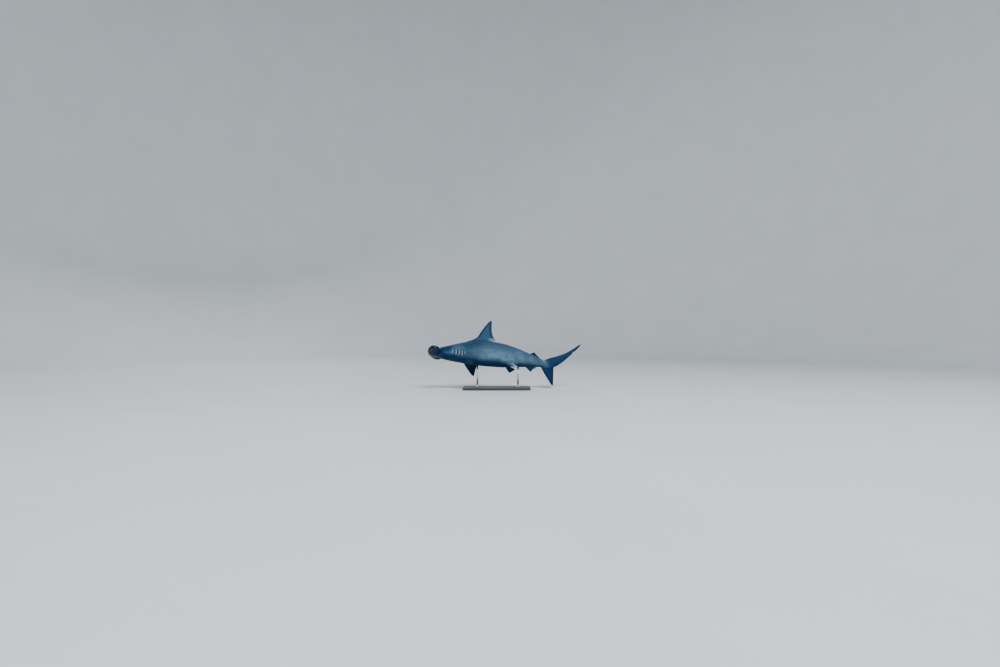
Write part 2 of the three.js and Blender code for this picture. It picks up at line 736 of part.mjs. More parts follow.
function rod(at) {
  const top = bend(point(pc(at), 0, 0)).applyMatrix4(shark.matrixWorld);
  const from = BASE_THICK + GAP;
  const body = skinBody.transform(shark.matrixWorld.elements);
  const bar = solid(
    new THREE.CylinderGeometry(ROD_RADIUS, ROD_RADIUS, top.z - from, 24)
      .rotateX(Math.PI / 2)
      .translate(top.x, top.y, (top.z + from) / 2),
  );
  return largest(bar.subtract(body));
}

const group = new THREE.Group();
group.add(shark, mesh("stand_base", base(), PLINTH));
for (const r of RODS) group.add(mesh(r.name, rod(r.at), STEEL));

export default group;
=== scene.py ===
# %% [markdown]
# # A scalloped hammerhead shark, life size, over a display stand
#
# The imported model holds plain solids for the head, the body, the fins, the eyes and the stand.
# Here they get what a museum model shows: one unbroken skin with gill slits, nostrils, mouth and
# lids, a colouring as under water with its light and shade painted into the skin, glossy eyes, and
# a painted stand with steel rods.
#
# The shark is easiest to shape while it lies straight: x runs from the snout to the tail, y to the
# shark's right side and z to its back. The last step curves its tail, banks it and lifts it over
# the stand, exactly as the solids are placed. Lengths are metres, and most sizes are percent of
# the shark's length, because that is how shark proportions are measured.

# %% Start
import math

import bmesh
import bpy
import numpy as np
from mathutils.bvhtree import BVHTree
from mathutils.kdtree import KDTree
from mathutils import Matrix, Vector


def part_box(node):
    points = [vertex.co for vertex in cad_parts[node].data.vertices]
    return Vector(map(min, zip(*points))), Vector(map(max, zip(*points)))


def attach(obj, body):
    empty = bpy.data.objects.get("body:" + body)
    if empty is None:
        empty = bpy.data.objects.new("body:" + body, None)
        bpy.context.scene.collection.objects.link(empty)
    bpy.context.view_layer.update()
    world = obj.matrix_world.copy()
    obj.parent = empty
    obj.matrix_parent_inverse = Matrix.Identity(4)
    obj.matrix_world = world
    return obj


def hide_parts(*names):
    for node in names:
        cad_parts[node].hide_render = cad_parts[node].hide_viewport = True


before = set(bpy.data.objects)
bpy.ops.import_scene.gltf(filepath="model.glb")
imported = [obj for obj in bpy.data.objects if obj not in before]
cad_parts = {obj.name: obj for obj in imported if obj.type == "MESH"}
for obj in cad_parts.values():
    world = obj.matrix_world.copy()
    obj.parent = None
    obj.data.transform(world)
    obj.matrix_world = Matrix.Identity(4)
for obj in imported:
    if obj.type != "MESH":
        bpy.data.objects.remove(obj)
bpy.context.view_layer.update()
scene = bpy.context.scene

# %% [markdown]
# ## Camera
#
# The camera looks along +Y and stays level. Its distance and height come from the photo's
# proportions: the shark is small in the picture and its underside turns a little to the viewer,
# which the stand gives by banking it, so that the camera can stay above the floor.

# %% Camera
FOCAL_PIXELS = 596
PICTURE_WIDE = 1000  # pixels
SENSOR = 36.0
CAMERA_AT = (0.0505, -8.9, 0.8325)

camera_data = bpy.data.cameras.new("camera")
camera_data.sensor_width = SENSOR
camera_data.lens = FOCAL_PIXELS * SENSOR / PICTURE_WIDE
camera = bpy.data.objects.new("camera", camera_data)
camera.location = CAMERA_AT
camera.rotation_euler = (math.radians(90), 0, 0)
scene.collection.objects.link(camera)
scene.camera = camera
print("lens:", round(camera_data.lens, 2), "mm")

# %% [markdown]
# ## Measures that the whole shark shares
#
# `ramp` is a straight step, `smooth` a soft one and `bell` a soft bump. `ridge` is a bump measured
# in millimetres. Sums of these shape almost everything below.

# %% Measures
TOTAL_LENGTH = 2.4
MM = 0.001


def pc(percent):
    return percent / 100 * TOTAL_LENGTH


def ramp(value, start, end):
    return np.clip((value - start) / (end - start), 0, 1)


def smooth(value, start, end):
    share = ramp(value, start, end)
    return share * share * (3 - 2 * share)


def bell(value, middle, width):
    return np.exp(-(((value - middle) / width) ** 2))


def ridge(distance, high, middle, width):
    return high * MM * bell(distance, middle * MM, width * MM)


print("one percent of the shark:", round(pc(1) / MM), "mm")

# %% [markdown]
# ## Curves through stations
#
# A shark's body is drawn as a boat's hull is: its height and width are measured at a few stations,
# and a smooth curve runs through them. This is the same cubic that shapes the solids.

# %% Curve through stations


def through(stations, at):
    table = np.array(stations, float)
    where, values = table[:, 0], table[:, 1:]
    at = np.clip(np.asarray(at, float), where[0], where[-1])
    last = len(where) - 1
    i = np.clip(np.searchsorted(where, at, side="right"), 1, last)
    before = np.where(i == 1, i, i - 2)
    after = np.where(i == last, i - 1, i + 1)
    start, end = where[i - 1], where[i]
    start_slope = (end - start) / 2 / (start - where[before])
    end_slope = (end - start) / 2 / (where[after] - end)
    p = (at - start) / (end - start)
    shares = (
        (before, -start_slope * p**3 + 2 * start_slope * p**2 - start_slope * p),
        (
            i - 1,
            (1 + start_slope) * p**3 - (1.5 + 2 * start_slope) * p**2 + (start_slope - 0.5) * p + 1,
        ),
        (i, -(1 + end_slope) * p**3 + (1.5 + end_slope) * p**2 + 0.5 * p),
        (after, end_slope * p**3 - end_slope * p**2),
    )
    return sum(values[k] * share[..., None] for k, share in shares)


# %% Body sections
BODY = [  # distance from the snout, back, belly and half width, in percent
    (1.6, 0.7, -0.8, 2.5), (4, 1.6, -1.6, 3.2), (7, 3.4, -2.5, 3.8), (10.5, 4.7, -3.5, 4.1),
    (15, 6.1, -4.3, 4.5), (20, 7.7, -4.9, 5.1), (26, 9.2, -5.4, 5.8), (33, 10.1, -5.9, 6.2),
    (41, 9.9, -6.0, 6.1), (48, 9.0, -5.8, 5.4), (55, 7.4, -5.0, 4.4), (62, 5.3, -4.0, 3.2),
    (68, 3.6, -3.1, 2.15), (73, 2.5, -2.4, 1.45),
]


def body_section(at):
    back, belly, half = np.moveaxis(through(BODY, at), -1, 0)
    trunk = smooth(at, 14, 30) * (1 - smooth(at, 50, 62))
    head = 1 - smooth(at, 6, 17)
    return {
        "back": pc(back),
        "belly": pc(belly),
        "half": pc(half),
        "widest": pc(belly + (back - belly) * (0.5 - 0.05 * trunk)),
        "back_power": 2 - 0.18 * trunk,
        "belly_power": 2 + 0.25 * trunk + 0.5 * head,
    }


def signed_power(value, power):
    return np.sign(value) * np.abs(value) ** power


def on_body(at, angle):
    s = body_section(at)
    across, up = np.cos(angle), np.sin(angle)
    power = np.where(up >= 0, s["back_power"], s["belly_power"])
    rise = np.where(up >= 0, s["back"] - s["widest"], s["widest"] - s["belly"])
    return np.stack(
        [
            pc(at),
            s["half"] * signed_power(across, 2 / power),
            s["widest"] + rise * signed_power(up, 2 / power),
        ],
        axis=-1,
    )


mid_body = body_section(np.array(33.0))
height = mid_body["back"] - mid_body["belly"]
print("height under the first dorsal fin:", round(height / MM), "mm")

# %% [markdown]
# ## Surfaces from a grid
#
# Each part starts as Blender's flat grid, laid over the part's surface: one direction of the grid
# runs along the part and the other round it. The two edges that meet are merged afterwards, and so
# are the ends, where the grid shrinks to a point. That keeps the faces even and in neat rows,
# which is what smooth shading needs.

# %% Grid helpers


def positions(bm):
    return np.array([v.co[:] for v in bm.verts])


def normals(bm):
    return np.array([v.normal[:] for v in bm.verts])


def rims(bm):
    return [e for e in bm.edges if e.is_boundary]


def move_to(bm, places):
    for vert, place in zip(bm.verts, places):
        vert.co = place


def wrapped(along, around, surface, merge=1e-5):
    """A bmesh grid of along x around faces; surface gives a place for shares from 0 to 1."""
    bm = bmesh.new()
    bmesh.ops.create_grid(bm, x_segments=along, y_segments=around, size=0.5)
    flat = positions(bm) + 0.5
    move_to(bm, surface(flat[:, 0], flat[:, 1]))
    bmesh.ops.remove_doubles(bm, verts=bm.verts, dist=merge)
    bmesh.ops.recalc_face_normals(bm, faces=bm.faces)
    return bm


def close_ends(bm):
    if rims(bm):
        bmesh.ops.holes_fill(bm, edges=rims(bm))
        bmesh.ops.recalc_face_normals(bm, faces=bm.faces)


def cut_large_faces(bm):
    bmesh.ops.triangulate(bm, faces=[f for f in bm.faces if len(f.verts) > 4])


def as_object(bm, name):
    data = bpy.data.meshes.new(name)
    bm.to_mesh(data)
    bm.free()
    made = bpy.data.objects.new(name, data)
    scene.collection.objects.link(made)
    return made


def after_modifiers(made):
    bpy.context.view_layer.update()
    result = bmesh.new()
    result.from_object(made, bpy.context.evaluated_depsgraph_get())
    return result


def keep(bm, name, values):
    """Keeps a number for each point, added to what it has."""
    layer = bm.verts.layers.float.get(name) or bm.verts.layers.float.new(name)
    for vert, value in zip(bm.verts, values):
        vert[layer] += float(value)


def turned(bm, line, steps):
    """Turns a line of (radius, height) pairs round the upright axis."""
    points = [bm.verts.new((r, 0, z)) for r, z in line]
    edges = [bm.edges.new(pair) for pair in zip(points, points[1:])]
    bmesh.ops.spin(
        bm, geom=points + edges, cent=(0, 0, 0), axis=(0, 0, 1), angle=2 * math.pi, steps=steps,
        use_merge=True,
    )


# %% Measuring helpers


def tree(bm):
    return BVHTree.FromBMesh(bm)


def distances(shape, places, reach):
    """How far each place is from a surface, at most reach."""
    near = [shape.find_nearest(p, reach) for p in places]
    return np.array([reach if n[0] is None else n[3] for n in near])


def add_all(bm, others):
    for other in others:
        data = bpy.data.meshes.new("part")
        other.to_mesh(data)
        bm.from_mesh(data)
        bpy.data.meshes.remove(data)


def triangles(bm):
    return sum(len(f.verts) - 2 for f in bm.faces)


def soften(bm, verts):
    axes = {"use_axis_x": True, "use_axis_y": True, "use_axis_z": True}
    bmesh.ops.smooth_vert(bm, verts=verts, factor=0.5, **axes)


def side_of(turn):
    """1 on the upper half of a turn, -1 on the lower half and 0 where they meet."""
    rise = np.sin(turn)
    return np.sign(rise) * (np.abs(rise) > 1e-9)


# %% [markdown]
# ## The hammer
#
# The head is a wide, flat blade with scalloped notches in its front edge, a middle one and two on
# each side, and an eye at each blunt end. It is drawn in sections across its span, each with a
# rounded front and a thinner rear edge like a wing's. The eye sockets swell at the tips.

# %% Hammer sections
HAMMER_HALF = pc(12.4)
HAMMER_LEVEL = pc(0.3)
HAMMER_THICK = pc(2.1)
TIP_FROM = pc(10.7)
TIP_EDGE_FROM = pc(11.5)
NOTCHES = [(0, 0.6, 1.2), (5.4, 0.4, 1.1), (9.9, 0.3, 0.6)]  # place, depth and width, in percent


def hammer_chord(y):
    y = np.abs(y)
    notch = sum(deep * bell(y, pc(place), pc(wide)) for place, deep, wide in NOTCHES)
    front = pc(notch) + pc(3.2) * (y / HAMMER_HALF) ** 2.2
    inward = np.maximum(0, y - pc(3.6)) / pc(2.0)
    back = pc(8.1) + pc(1.7) * np.exp(-(inward**1.4)) - pc(0.35) * bell(y, pc(8), pc(2.5))

    def rounding(start, power):
        return np.sqrt(np.maximum(0, 1 - ramp(y, start, HAMMER_HALF) ** power))

    closing = rounding(TIP_FROM, 2.6)
    middle = front * 0.45 + back * 0.55
    thick = (HAMMER_THICK + pc(1.6) * bell(y, 0, pc(4.4))) * rounding(TIP_EDGE_FROM, 2.2)
    return middle - (middle - front) * closing, middle + (back - middle) * closing, thick


def blade_shape(share):
    """Half thickness along a blade's width, as a share of its most: blunt in front, thin behind."""
    wing = 2.969 * np.sqrt(share) - 1.26 * share - 3.516 * share**2
    wing = wing + 2.843 * share**3 - 1.036 * share**4
    oval = np.sqrt(np.maximum(0, 4 * share * (1 - share)))
    return 0.62 * wing + 0.38 * oval


def on_hammer(along, around):
    across = 2 * along - 1
    y = HAMMER_HALF * (0.5 * across + 0.5 * np.sin(across * math.pi / 2))
    front, back, thick = hammer_chord(y)
    turn = 2 * math.pi * around
    share = (1 - np.cos(turn)) / 2
    z = HAMMER_LEVEL + side_of(turn) * thick / 2 * blade_shape(share)
    return np.stack([front + (back - front) * share, y, z], axis=-1)


print("hammer:", round(2 * HAMMER_HALF / MM), "mm across,", 2 * len(NOTCHES) - 1, "notches")

# %% Head shells
NECK = (1.6, 16.5)  # the part of the body that the head is joined to, in percent
EYE_RADIUS = pc(0.78)
EYE_AT = pc(5.7)
EYE_SIDEWAYS = HAMMER_HALF - 15 * MM
ORBIT = (pc(1.5), pc(1.05), pc(1.08))


def on_eye_axis(side, away):
    return EYE_AT, side * away, HAMMER_LEVEL


def on_neck(along, around):
    return on_body(NECK[0] + (NECK[1] - NECK[0]) * along, 2 * math.pi * around)


hammer_shell, neck_shell = wrapped(150, 64, on_hammer), wrapped(60, 96, on_neck)
close_ends(neck_shell)
orbits = []
for side in (-1, 1):
    orbit = bmesh.new()
    bmesh.ops.create_uvsphere(orbit, u_segments=40, v_segments=24, radius=1)
    bmesh.ops.scale(orbit, verts=orbit.verts, vec=ORBIT)
    bmesh.ops.translate(orbit, verts=orbit.verts, vec=on_eye_axis(side, HAMMER_HALF - ORBIT[1]))
    orbits.append(orbit)
print("hammer:", triangles(hammer_shell), "neck:", triangles(neck_shell), "triangles")

# %% [markdown]
# ## One head from several shells
#
# A real head has no line where its blade meets the neck. A voxel remesh turns the overlapping
# shells into one even surface. The crease between them is then melted: the points that lie close
# to both shells are smoothed until the one flows into the other, as a modeller would do with a
# brush.

# %% Head core
HEAD_VOXEL = 4.2 * MM
NECK_MELT = (40 * MM, 60)  # how far from a crease, and how many rounds
ORBIT_MELT = (12 * MM, 12)
HEAD_CUT = 13.5  # percent, where the head's mesh ends and the trunk's begins


def remeshed(bm, voxel):
    shell = as_object(bm, "shell")
    remesh = shell.modifiers.new("remesh", "REMESH")
    remesh.mode = "VOXEL"
    remesh.voxel_size = voxel
    result = after_modifiers(shell)
    bpy.data.meshes.remove(shell.data)
    return result


def crease_places(bm, first, second, touching):
    """The places of the points that lie on both shells, where the one runs into the other."""
    spots = positions(bm)
    on_first = distances(first, spots, touching) < touching
    crease = list(spots[on_first])
    near = distances(second, crease, touching) < touching
    return [p for p, chosen in zip(crease, near) if chosen]


def away_from(crease, places):
    lookup = KDTree(len(crease))
    for i, place in enumerate(crease):
        lookup.insert(place, i)
    lookup.balance()
    return np.array([lookup.find(p)[2] for p in places])


def melt(bm, crease, reach, rounds):
    """Smooths the points near a crease, first all within reach, in the end only the inner half."""
    away = away_from(crease, positions(bm))
    for step in range(rounds):
        limit = reach * (1 - 0.5 * step / rounds)
        soften(bm, [v for v, d in zip(bm.verts, away) if d < limit])


hammer_tree, neck_tree = tree(hammer_shell), tree(neck_shell)
head = bmesh.new()
add_all(head, [hammer_shell, neck_shell, *orbits])
head = remeshed(head, HEAD_VOXEL)
crease = crease_places(head, hammer_tree, neck_tree, 3 * MM)
melt(head, crease, *NECK_MELT)
for orbit in orbits:
    melt(head, crease_places(head, hammer_tree, tree(orbit), 2 * MM), *ORBIT_MELT)
soften(head, head.verts)
bmesh.ops.bisect_plane(
    head, geom=head.verts[:] + head.edges[:] + head.faces[:], dist=1e-5,
    plane_co=(pc(HEAD_CUT), 0, 0), plane_no=(1, 0, 0), clear_outer=True,
)
print("head:", triangles(head), "triangles,", len(crease), "points in its crease")

# %% [markdown]
# ## Details pressed into the head
#
# Lips, nostrils and lids are too small for the head's even mesh. The faces are divided again where
# a detail lies, and each point there is then moved along its normal by a height that depends on
# its distance from the detail's line. It is how a sculptor's crease and inflate brushes work.

# %% Finer faces where details lie


def refine(bm, inside):
    """Divides the faces whose middle is inside, given as a function of places."""
    bm.faces.ensure_lookup_table()
    middles = np.array([f.calc_center_median()[:] for f in bm.faces])
    edges = {e for f, chosen in zip(bm.faces[:], inside(middles)) if chosen for e in f.edges}
    bmesh.ops.subdivide_edges(bm, edges=list(edges), cuts=1, use_grid_fill=True)
    cut_large_faces(bm)


def press(bm, height, slide=None):
    """Moves each point along its normal by a height, given as a function of places and normals.

    How far a point is pressed in or raised is kept as "depth" and "raised", for the skin's painted
    shade in the hollows and painted highlights on the raised skin.
    """
    bm.normal_update()
    spots, outward = positions(bm), normals(bm)
    heights = height(spots, outward)
    moved = spots + outward * heights[:, None]
    if slide:
        moved[:, 0] += slide(spots)
    move_to(bm, moved)
    keep(bm, "depth", np.maximum(0, -heights))
    keep(bm, "raised", np.maximum(0, heights))


# %% [markdown]
# ### Mouth
#
# A hammerhead's mouth is a short arch on the underside, well behind the front edge. Closed, it
# shows as a deep line between two rounded lips, which fades out at the corners.

# %% Mouth
MOUTH_HALF = pc(3.3)
MOUTH_FRONT = pc(6.3)
MOUTH_BACK = pc(9.4)


def mouth_distance(p):
    """Distance from the mouth's arch, positive outside it, and how strongly it shows there."""
    long = MOUTH_BACK - MOUTH_FRONT
    u, v = (p[:, 0] - MOUTH_BACK) / long, p[:, 1] / MOUTH_HALF
    steep = 2 * np.hypot(u / long, v / MOUTH_HALF) + 1e-9
    shown = smooth(p[:, 0], MOUTH_BACK + 14 * MM, MOUTH_BACK - 6 * MM)
    return (u * u + v * v - 1) / steep, shown * (p[:, 2] < -5 * MM)


def mouth_height(p, n):
    d, shown = mouth_distance(p)
    lips = ridge(d, 4.5, 8, 5.5) + ridge(d, 3.5, -9, 6)
    slit = ridge(d, -9.5, 0, 2.1)
    chin = ridge(d, 2.5, -30, 16)
    return (lips + slit + chin) * shown * (n[:, 2] < 0)


def near_mouth(p, reach):
    d, shown = mouth_distance(p)
    return (np.abs(d) < reach) & (shown > 0.02)


for reach in (15 * MM, 6 * MM):
    refine(head, lambda p: near_mouth(p, reach))
press(head, mouth_height)
print("head with mouth:", triangles(head))

# %% [markdown]
# ### Nostrils
#
# Each nostril is a slit in the lower front edge near the tip of the hammer, with a flap of skin
# before it. A shallow groove leads to it along the front edge from the middle.

# %% Nostrils
NOSTRIL = (9.3, 11.2)  # from where to where across, in percent
GROOVE = (5.0, 9.4)


def front_line(p):
    """Distance behind the line along the lower front edge, and the place across in percent."""
    y = np.abs(p[:, 1])
    front, back, thick = hammer_chord(y)
    x = front + pc(0.5 + 0.25 * smooth(y, pc(9.2), pc(11.2)))
    share = np.clip((x - front) / np.maximum(back - front, MM), 0, 1)
    z = HAMMER_LEVEL - thick / 2 * blade_shape(share)
    away = np.hypot(p[:, 0] - x, p[:, 2] - z)
    return np.where(p[:, 0] > x, away, -away), 100 * y / TOTAL_LENGTH


def span(across, ends, soft):
    first, last = ends
    return smooth(across, first - soft, first + soft) * smooth(across, last + soft, last - soft)


def nostril_height(p, n):
    d, across = front_line(p)
    slit, groove = span(across, NOSTRIL, 0.18), span(across, GROOVE, 0.5)
    flap = ridge(d, 3.6, -5.5, 3) + ridge(d, 1.2, 6, 3)
    return slit * (flap + ridge(d, -8.5, 0, 1.9)) + groove * ridge(d, -3.0, 0, 3.2)


def near_nostril(p, reach):
    d, across = front_line(p)
    return (np.abs(d) < reach) & (across > GROOVE[0] - 0.5) & (across < NOSTRIL[1] + 0.3)


refine(head, lambda p: near_nostril(p, 10 * MM))
refine(head, lambda p: near_nostril(p, 5.5 * MM) & (np.abs(p[:, 1]) > pc(9.0)))
press(head, nostril_height)
print("head with nostrils:", triangles(head))

# %% [markdown]
# ### Lids and sockets
#
# The round eye sits in a ringed socket at the tip of the hammer. The ring is pressed out first.
# The socket is then cut with a ball a little larger than the eye, so that the lid ends in a clean
# edge round the eye.

# %% Lids
LID_AT = 15.0  # mm from the middle of the eye


def from_eye(p):
    return np.hypot((p[:, 0] - EYE_AT) / 1.15, p[:, 2] - HAMMER_LEVEL)


def lid_height(p, n):
    q = from_eye(p)
    tip = smooth(np.abs(p[:, 1]), HAMMER_HALF - 34 * MM, HAMMER_HALF - 14 * MM)
    return tip * (ridge(q, 3.4, LID_AT, 3.2) + ridge(q, -1.4, LID_AT + 7.5, 3))


def near_eye(p, tip):
    return (from_eye(p) < (LID_AT + 9) * MM) & (np.abs(p[:, 1]) > HAMMER_HALF - tip)


for tip in (22 * MM, 15 * MM):
    refine(head, lambda p: near_eye(p, tip))
press(head, lid_height)
print("head with lids:", triangles(head))

# %% [markdown]
# ## The trunk and the upper tail lobe
#
# From behind the head to the tip of the tail the body is one long grid. Its rings lie closer
# together at the gills, and there they follow the slant of the slits, so that each slit runs along
# the grid's own rows and stays crisp. Behind the stalk the rings turn upwards along a curve and
# become the flat upper lobe of the tail fin.

# %% Upper tail lobe
STALK_END = 73
LOBE_LINE = np.array([(73, 0), (79.5, -0.1), (90.0, 7.4), (100.3, 18.0)], float)  # x and z, percent
LOBE = [  # share along the line, half height and thickness in percent, and how full its edges are
    (0, 2.3, 1.5, 2), (0.12, 2.75, 1.1, 1.8), (0.3, 3.2, 0.75, 1.5), (0.5, 2.5, 0.6, 1.45),
    (0.7, 1.5, 0.45, 1.45), (0.84, 1.0, 0.32, 1.45), (0.94, 0.62, 0.22, 1.6), (1.0, 0.2, 0.1, 1.8),
]
LOBE_PACE = 3 * (LOBE_LINE[1, 0] - LOBE_LINE[0, 0])  # percent for a share of 1, at its start
WEB_THIN = 0.4  # how much thinner the lobe's lower web is than its upper edge
LOBE_ROUND = 0.985  # where its tip starts to round off


def on_lobe(t, angle):
    high, thick, power = np.moveaxis(through(LOBE, t), -1, 0)
    tip = np.sqrt(1 - ramp(t, LOBE_ROUND, 1) ** 2)
    high, thick = high * tip, thick * tip
    r = 1 - t
    a, b, c, d = LOBE_LINE
    at = [r**3 * a[k] + 3 * r * r * t * b[k] + 3 * r * t * t * c[k] + t**3 * d[k] for k in (0, 1)]
    ahead = [
        3 * r * r * (b[k] - a[k]) + 6 * r * t * (c[k] - b[k]) + 3 * t * t * (d[k] - c[k])
        for k in (0, 1)
    ]
    size = np.hypot(*ahead)
    across, up = np.cos(angle), np.sin(angle)
    nick = 0.55 * bell(t, 0.8, 0.02)  # the small notch before the lobe's end
    rise = signed_power(up, 2 / power) * pc(np.where(up < 0, high - nick, high))
    web = 1 - WEB_THIN * smooth(-up, 0.1, 0.8) * smooth(t, 0.1, 0.3)
    wide = signed_power(across, 2 / power) * pc(thick) * web
    return np.stack(
        [pc(at[0]) - ahead[1] / size * rise, wide, pc(at[1]) + ahead[0] / size * rise], axis=-1
    )


# %% [markdown]
# ### Gills
#
# Five slits a side, each behind a flap of skin that lifts off towards the tail. Across a slit the
# skin rises gently to the flap's lip, drops steeply into the slit and comes out again behind it.

# %% Gill lines
GILLS = [  # distance from the snout, top and bottom of each slit, in percent
    (15.7, 2.2, -1.6), (17.9, 2.3, -1.8), (19.95, 2.2, -2.0), (21.75, 1.7, -2.2),
    (23.45, 1.2, -1.3),
]
FLAP_LONG = pc(1.05)
FLAP_RISE = 5.2 * MM
SLIT_DEEP = 12 * MM
LEAN_ROUNDS = 8  # steps that find where a leaning ring would stand


def gill_ends(place):
    """Top and bottom of the slits, in metres, as they change along the body."""
    at, top, bottom = np.array(GILLS).T
    return pc(np.interp(place, at, top)), pc(np.interp(place, at, bottom))


def gill_shift(place, z):
    """How far the rings lean back or forward at a height z, in percent."""
    top, bottom = gill_ends(place)
    t = (z - top) / (bottom - top)
    inside = np.clip(t, 0, 1)
    lean = (0.4 * np.sin(math.pi * inside) + 0.1 * inside) * (1 - smooth(t, 1.0, 1.5))
    return lean * smooth(place, HEAD_CUT + 0.3, 15.0) * (1 - smooth(place, 24.2, 26.6))


def gill_profile(d):
    """Height of the skin at a distance behind a flap's lip."""
    flap = FLAP_RISE * smooth(d, -FLAP_LONG, -2 * MM) * smooth(d, 1.2 * MM, -0.8 * MM)
    slit = smooth(d, -0.4 * MM, 2.2 * MM) * smooth(d, 17 * MM, 3.6 * MM)
    return flap - SLIT_DEEP * slit**1.3


def gill_place(p):
    """Where a point of the leaning rings would lie if they stood straight, in percent."""
    place = 100 * p[:, 0] / TOTAL_LENGTH
    straight = place
    for _ in range(LEAN_ROUNDS):
        straight = place - gill_shift(straight, p[:, 2])
    return straight


def each_gill(p):
    """For every slit, how far points lie behind its lip and how open it is at their height."""
    place = gill_place(p)
    for at, top, bottom in GILLS:
        yield pc(place - at), np.sin(math.pi * ramp(p[:, 2], pc(top), pc(bottom))) ** 0.6


def gill_height(p, n):
    return sum(gill_profile(d) * wide * (np.abs(d) < 30 * MM) for d, wide in each_gill(p))


def gill_overhang(p):
    return sum(ridge(d, 3, -0.6, 2.4) * wide for d, wide in each_gill(p))


# %% Trunk grid
TRUNK_SIDES = 104
RING_STEP = 0.38  # percent, behind the gills
LOBE_RINGS = 76
AROUND_LIP = [  # rings before and behind a flap's lip, in mm
    -26, -20, -15, -11, -8, -5.5, -3.5, -2, -0.8, 0, 0.8, 1.6, 2.6, 3.8, 5.2, 7, 9.5, 13,
]


def ring_places():
    """Where the rings lie: percent of the length up to the stalk's end, then on along the lobe."""
    near = [at + 0.1 * d / TOTAL_LENGTH for at, _, _ in GILLS for d in AROUND_LIP]
    first = [HEAD_CUT + 0.12, HEAD_CUT + 0.5, HEAD_CUT + 0.8]
    rest = np.arange(max(near) + 0.3, STALK_END, RING_STEP)
    lobe = STALK_END + LOBE_PACE * np.sin(np.linspace(0, 1, LOBE_RINGS) ** 0.9 * math.pi / 2)
    return np.array(first + near + list(rest) + list(lobe))


RING_PLACES = ring_places()


def on_trunk(along, around):
    angle = 2 * math.pi * around
    place = np.interp(along, np.linspace(0, 1, len(RING_PLACES)), RING_PLACES)
    body_place = np.minimum(place, 78)
    z = on_body(body_place, angle)[:, 2]
    leaning = body_place + gill_shift(body_place, z)
    skin = on_body(leaning, angle)
    skin[:, 0] += pc(place - body_place)
    lobe = on_lobe(ramp(place, STALK_END, STALK_END + LOBE_PACE), angle)
    lobe[:, 0] += pc(np.minimum(0, place - STALK_END))
    into_lobe = smooth(place, 70.5, 76)[:, None]
    return skin * (1 - into_lobe) + lobe * into_lobe


trunk = wrapped(len(RING_PLACES) - 1, TRUNK_SIDES, on_trunk)
print("trunk:", triangles(trunk), "triangles in", len(RING_PLACES), "rings")

# %% [markdown]
# ### Small marks of the trunk
#
# A crescent-shaped pit lies across the top of the stalk just before the tail fin, and the vent
# lies between the pelvic fins. Both are pressed into the finished grid.

# %% Pit and vent
PIT_AT = 72.1
VENT_AT = 51.6


def trunk_height(p, n):
    pit_line = pc(PIT_AT) + 2.5 * p[:, 1] ** 2 / pc(1)
    pit = ridge(p[:, 0] - pit_line, -6.5, 0, 6.5) * smooth(n[:, 2], 0.35, 0.8) * (p[:, 0] < pc(75))
    at_vent = smooth(-n[:, 2], 0.8, 0.97) * bell(p[:, 0], pc(VENT_AT), 17 * MM)
    across = np.abs(p[:, 1])
    return pit + at_vent * (ridge(across, -5, 0, 4) + ridge(across, 2, 10, 5))


press(trunk, gill_height, gill_overhang)
press(trunk, trunk_height)
deepest = trunk.verts.layers.float["depth"]
print("deepest in the trunk:", round(max(v[deepest] for v in trunk.verts) / MM, 1), "mm")

# %% [markdown]
# ## Head and trunk in one
#
# The open rims of the head and the trunk face each other a few millimetres apart. bridge_loops
# spans faces between them, and a little smoothing hides the change from one mesh to the other.

# %% Bridge
SEAM_REACH = 9 * MM
SEAM_ROUNDS = 6

add_all(head, [trunk])
trunk.free()
body = head
bmesh.ops.bridge_loops(body, edges=rims(body))
cut_large_faces(body)
seam = [v for v in body.verts if abs(v.co.x - pc(HEAD_CUT + 0.05)) < SEAM_REACH]
for _ in range(SEAM_ROUNDS):
    soften(body, seam)
bmesh.ops.recalc_face_normals(body, faces=body.faces)
print("open edges:", len(rims(body)), "volume:", round(body.calc_volume() * 1000, 1), "litres")

# %% [markdown]
# ## Fins
#
# A fin is drawn flat: a runs to the tail along its root and h away from the body. Its front edge
# sweeps back to the tip, its rear edge is hollow and ends in a free corner. Across, it is shaped
# like a wing, thick at the root and thin at the rear edge. The same function makes all seven fins
# and the lower lobe of the tail. Lengths are percent of the shark's.

# %% Fin shapes
FINS = {  # root, tip (a, h), tip's width, free corner (a, h), sweep, hollow, thickness, sunk root
    "first dorsal": (9.2, (7.8, 13.9), 1.3, (12.5, 0.6), 1.42, 3.8, 1.15, 2.2),
    "second dorsal": (3.5, (2.9, 2.5), 0.8, (7.7, 0.55), 1.1, 1.7, 0.55, 1.0),
    "anal": (4.9, (3.4, 3.3), 0.7, (7.7, 0.55), 1.15, 2.6, 0.6, 1.0),
    "pectoral": (6.6, (6.4, 12.2), 1.3, (9.2, 2.4), 1.12, 1.5, 1.0, 2.4),
    "pelvic": (4.6, (3.2, 3.9), 0.9, (7.0, 1.4), 1.1, 1.2, 0.6, 1.6),
    "lower tail": (9.2, (8.4, 12.2), 1.0, (9.2, 0.0), 1.12, 1.25, 0.85, 2.0),
}
EDGE_THICK = 1.6 * MM
TIP_ROUND = 0.9  # how far up a fin its tip starts to round off
FAIRING = {  # the slope before a fin: how far it reaches forward and up, in percent
    "first dorsal": (6.2, 3.8), "second dorsal": (0.9, 0.7), "anal": (0.9, 0.8),
}


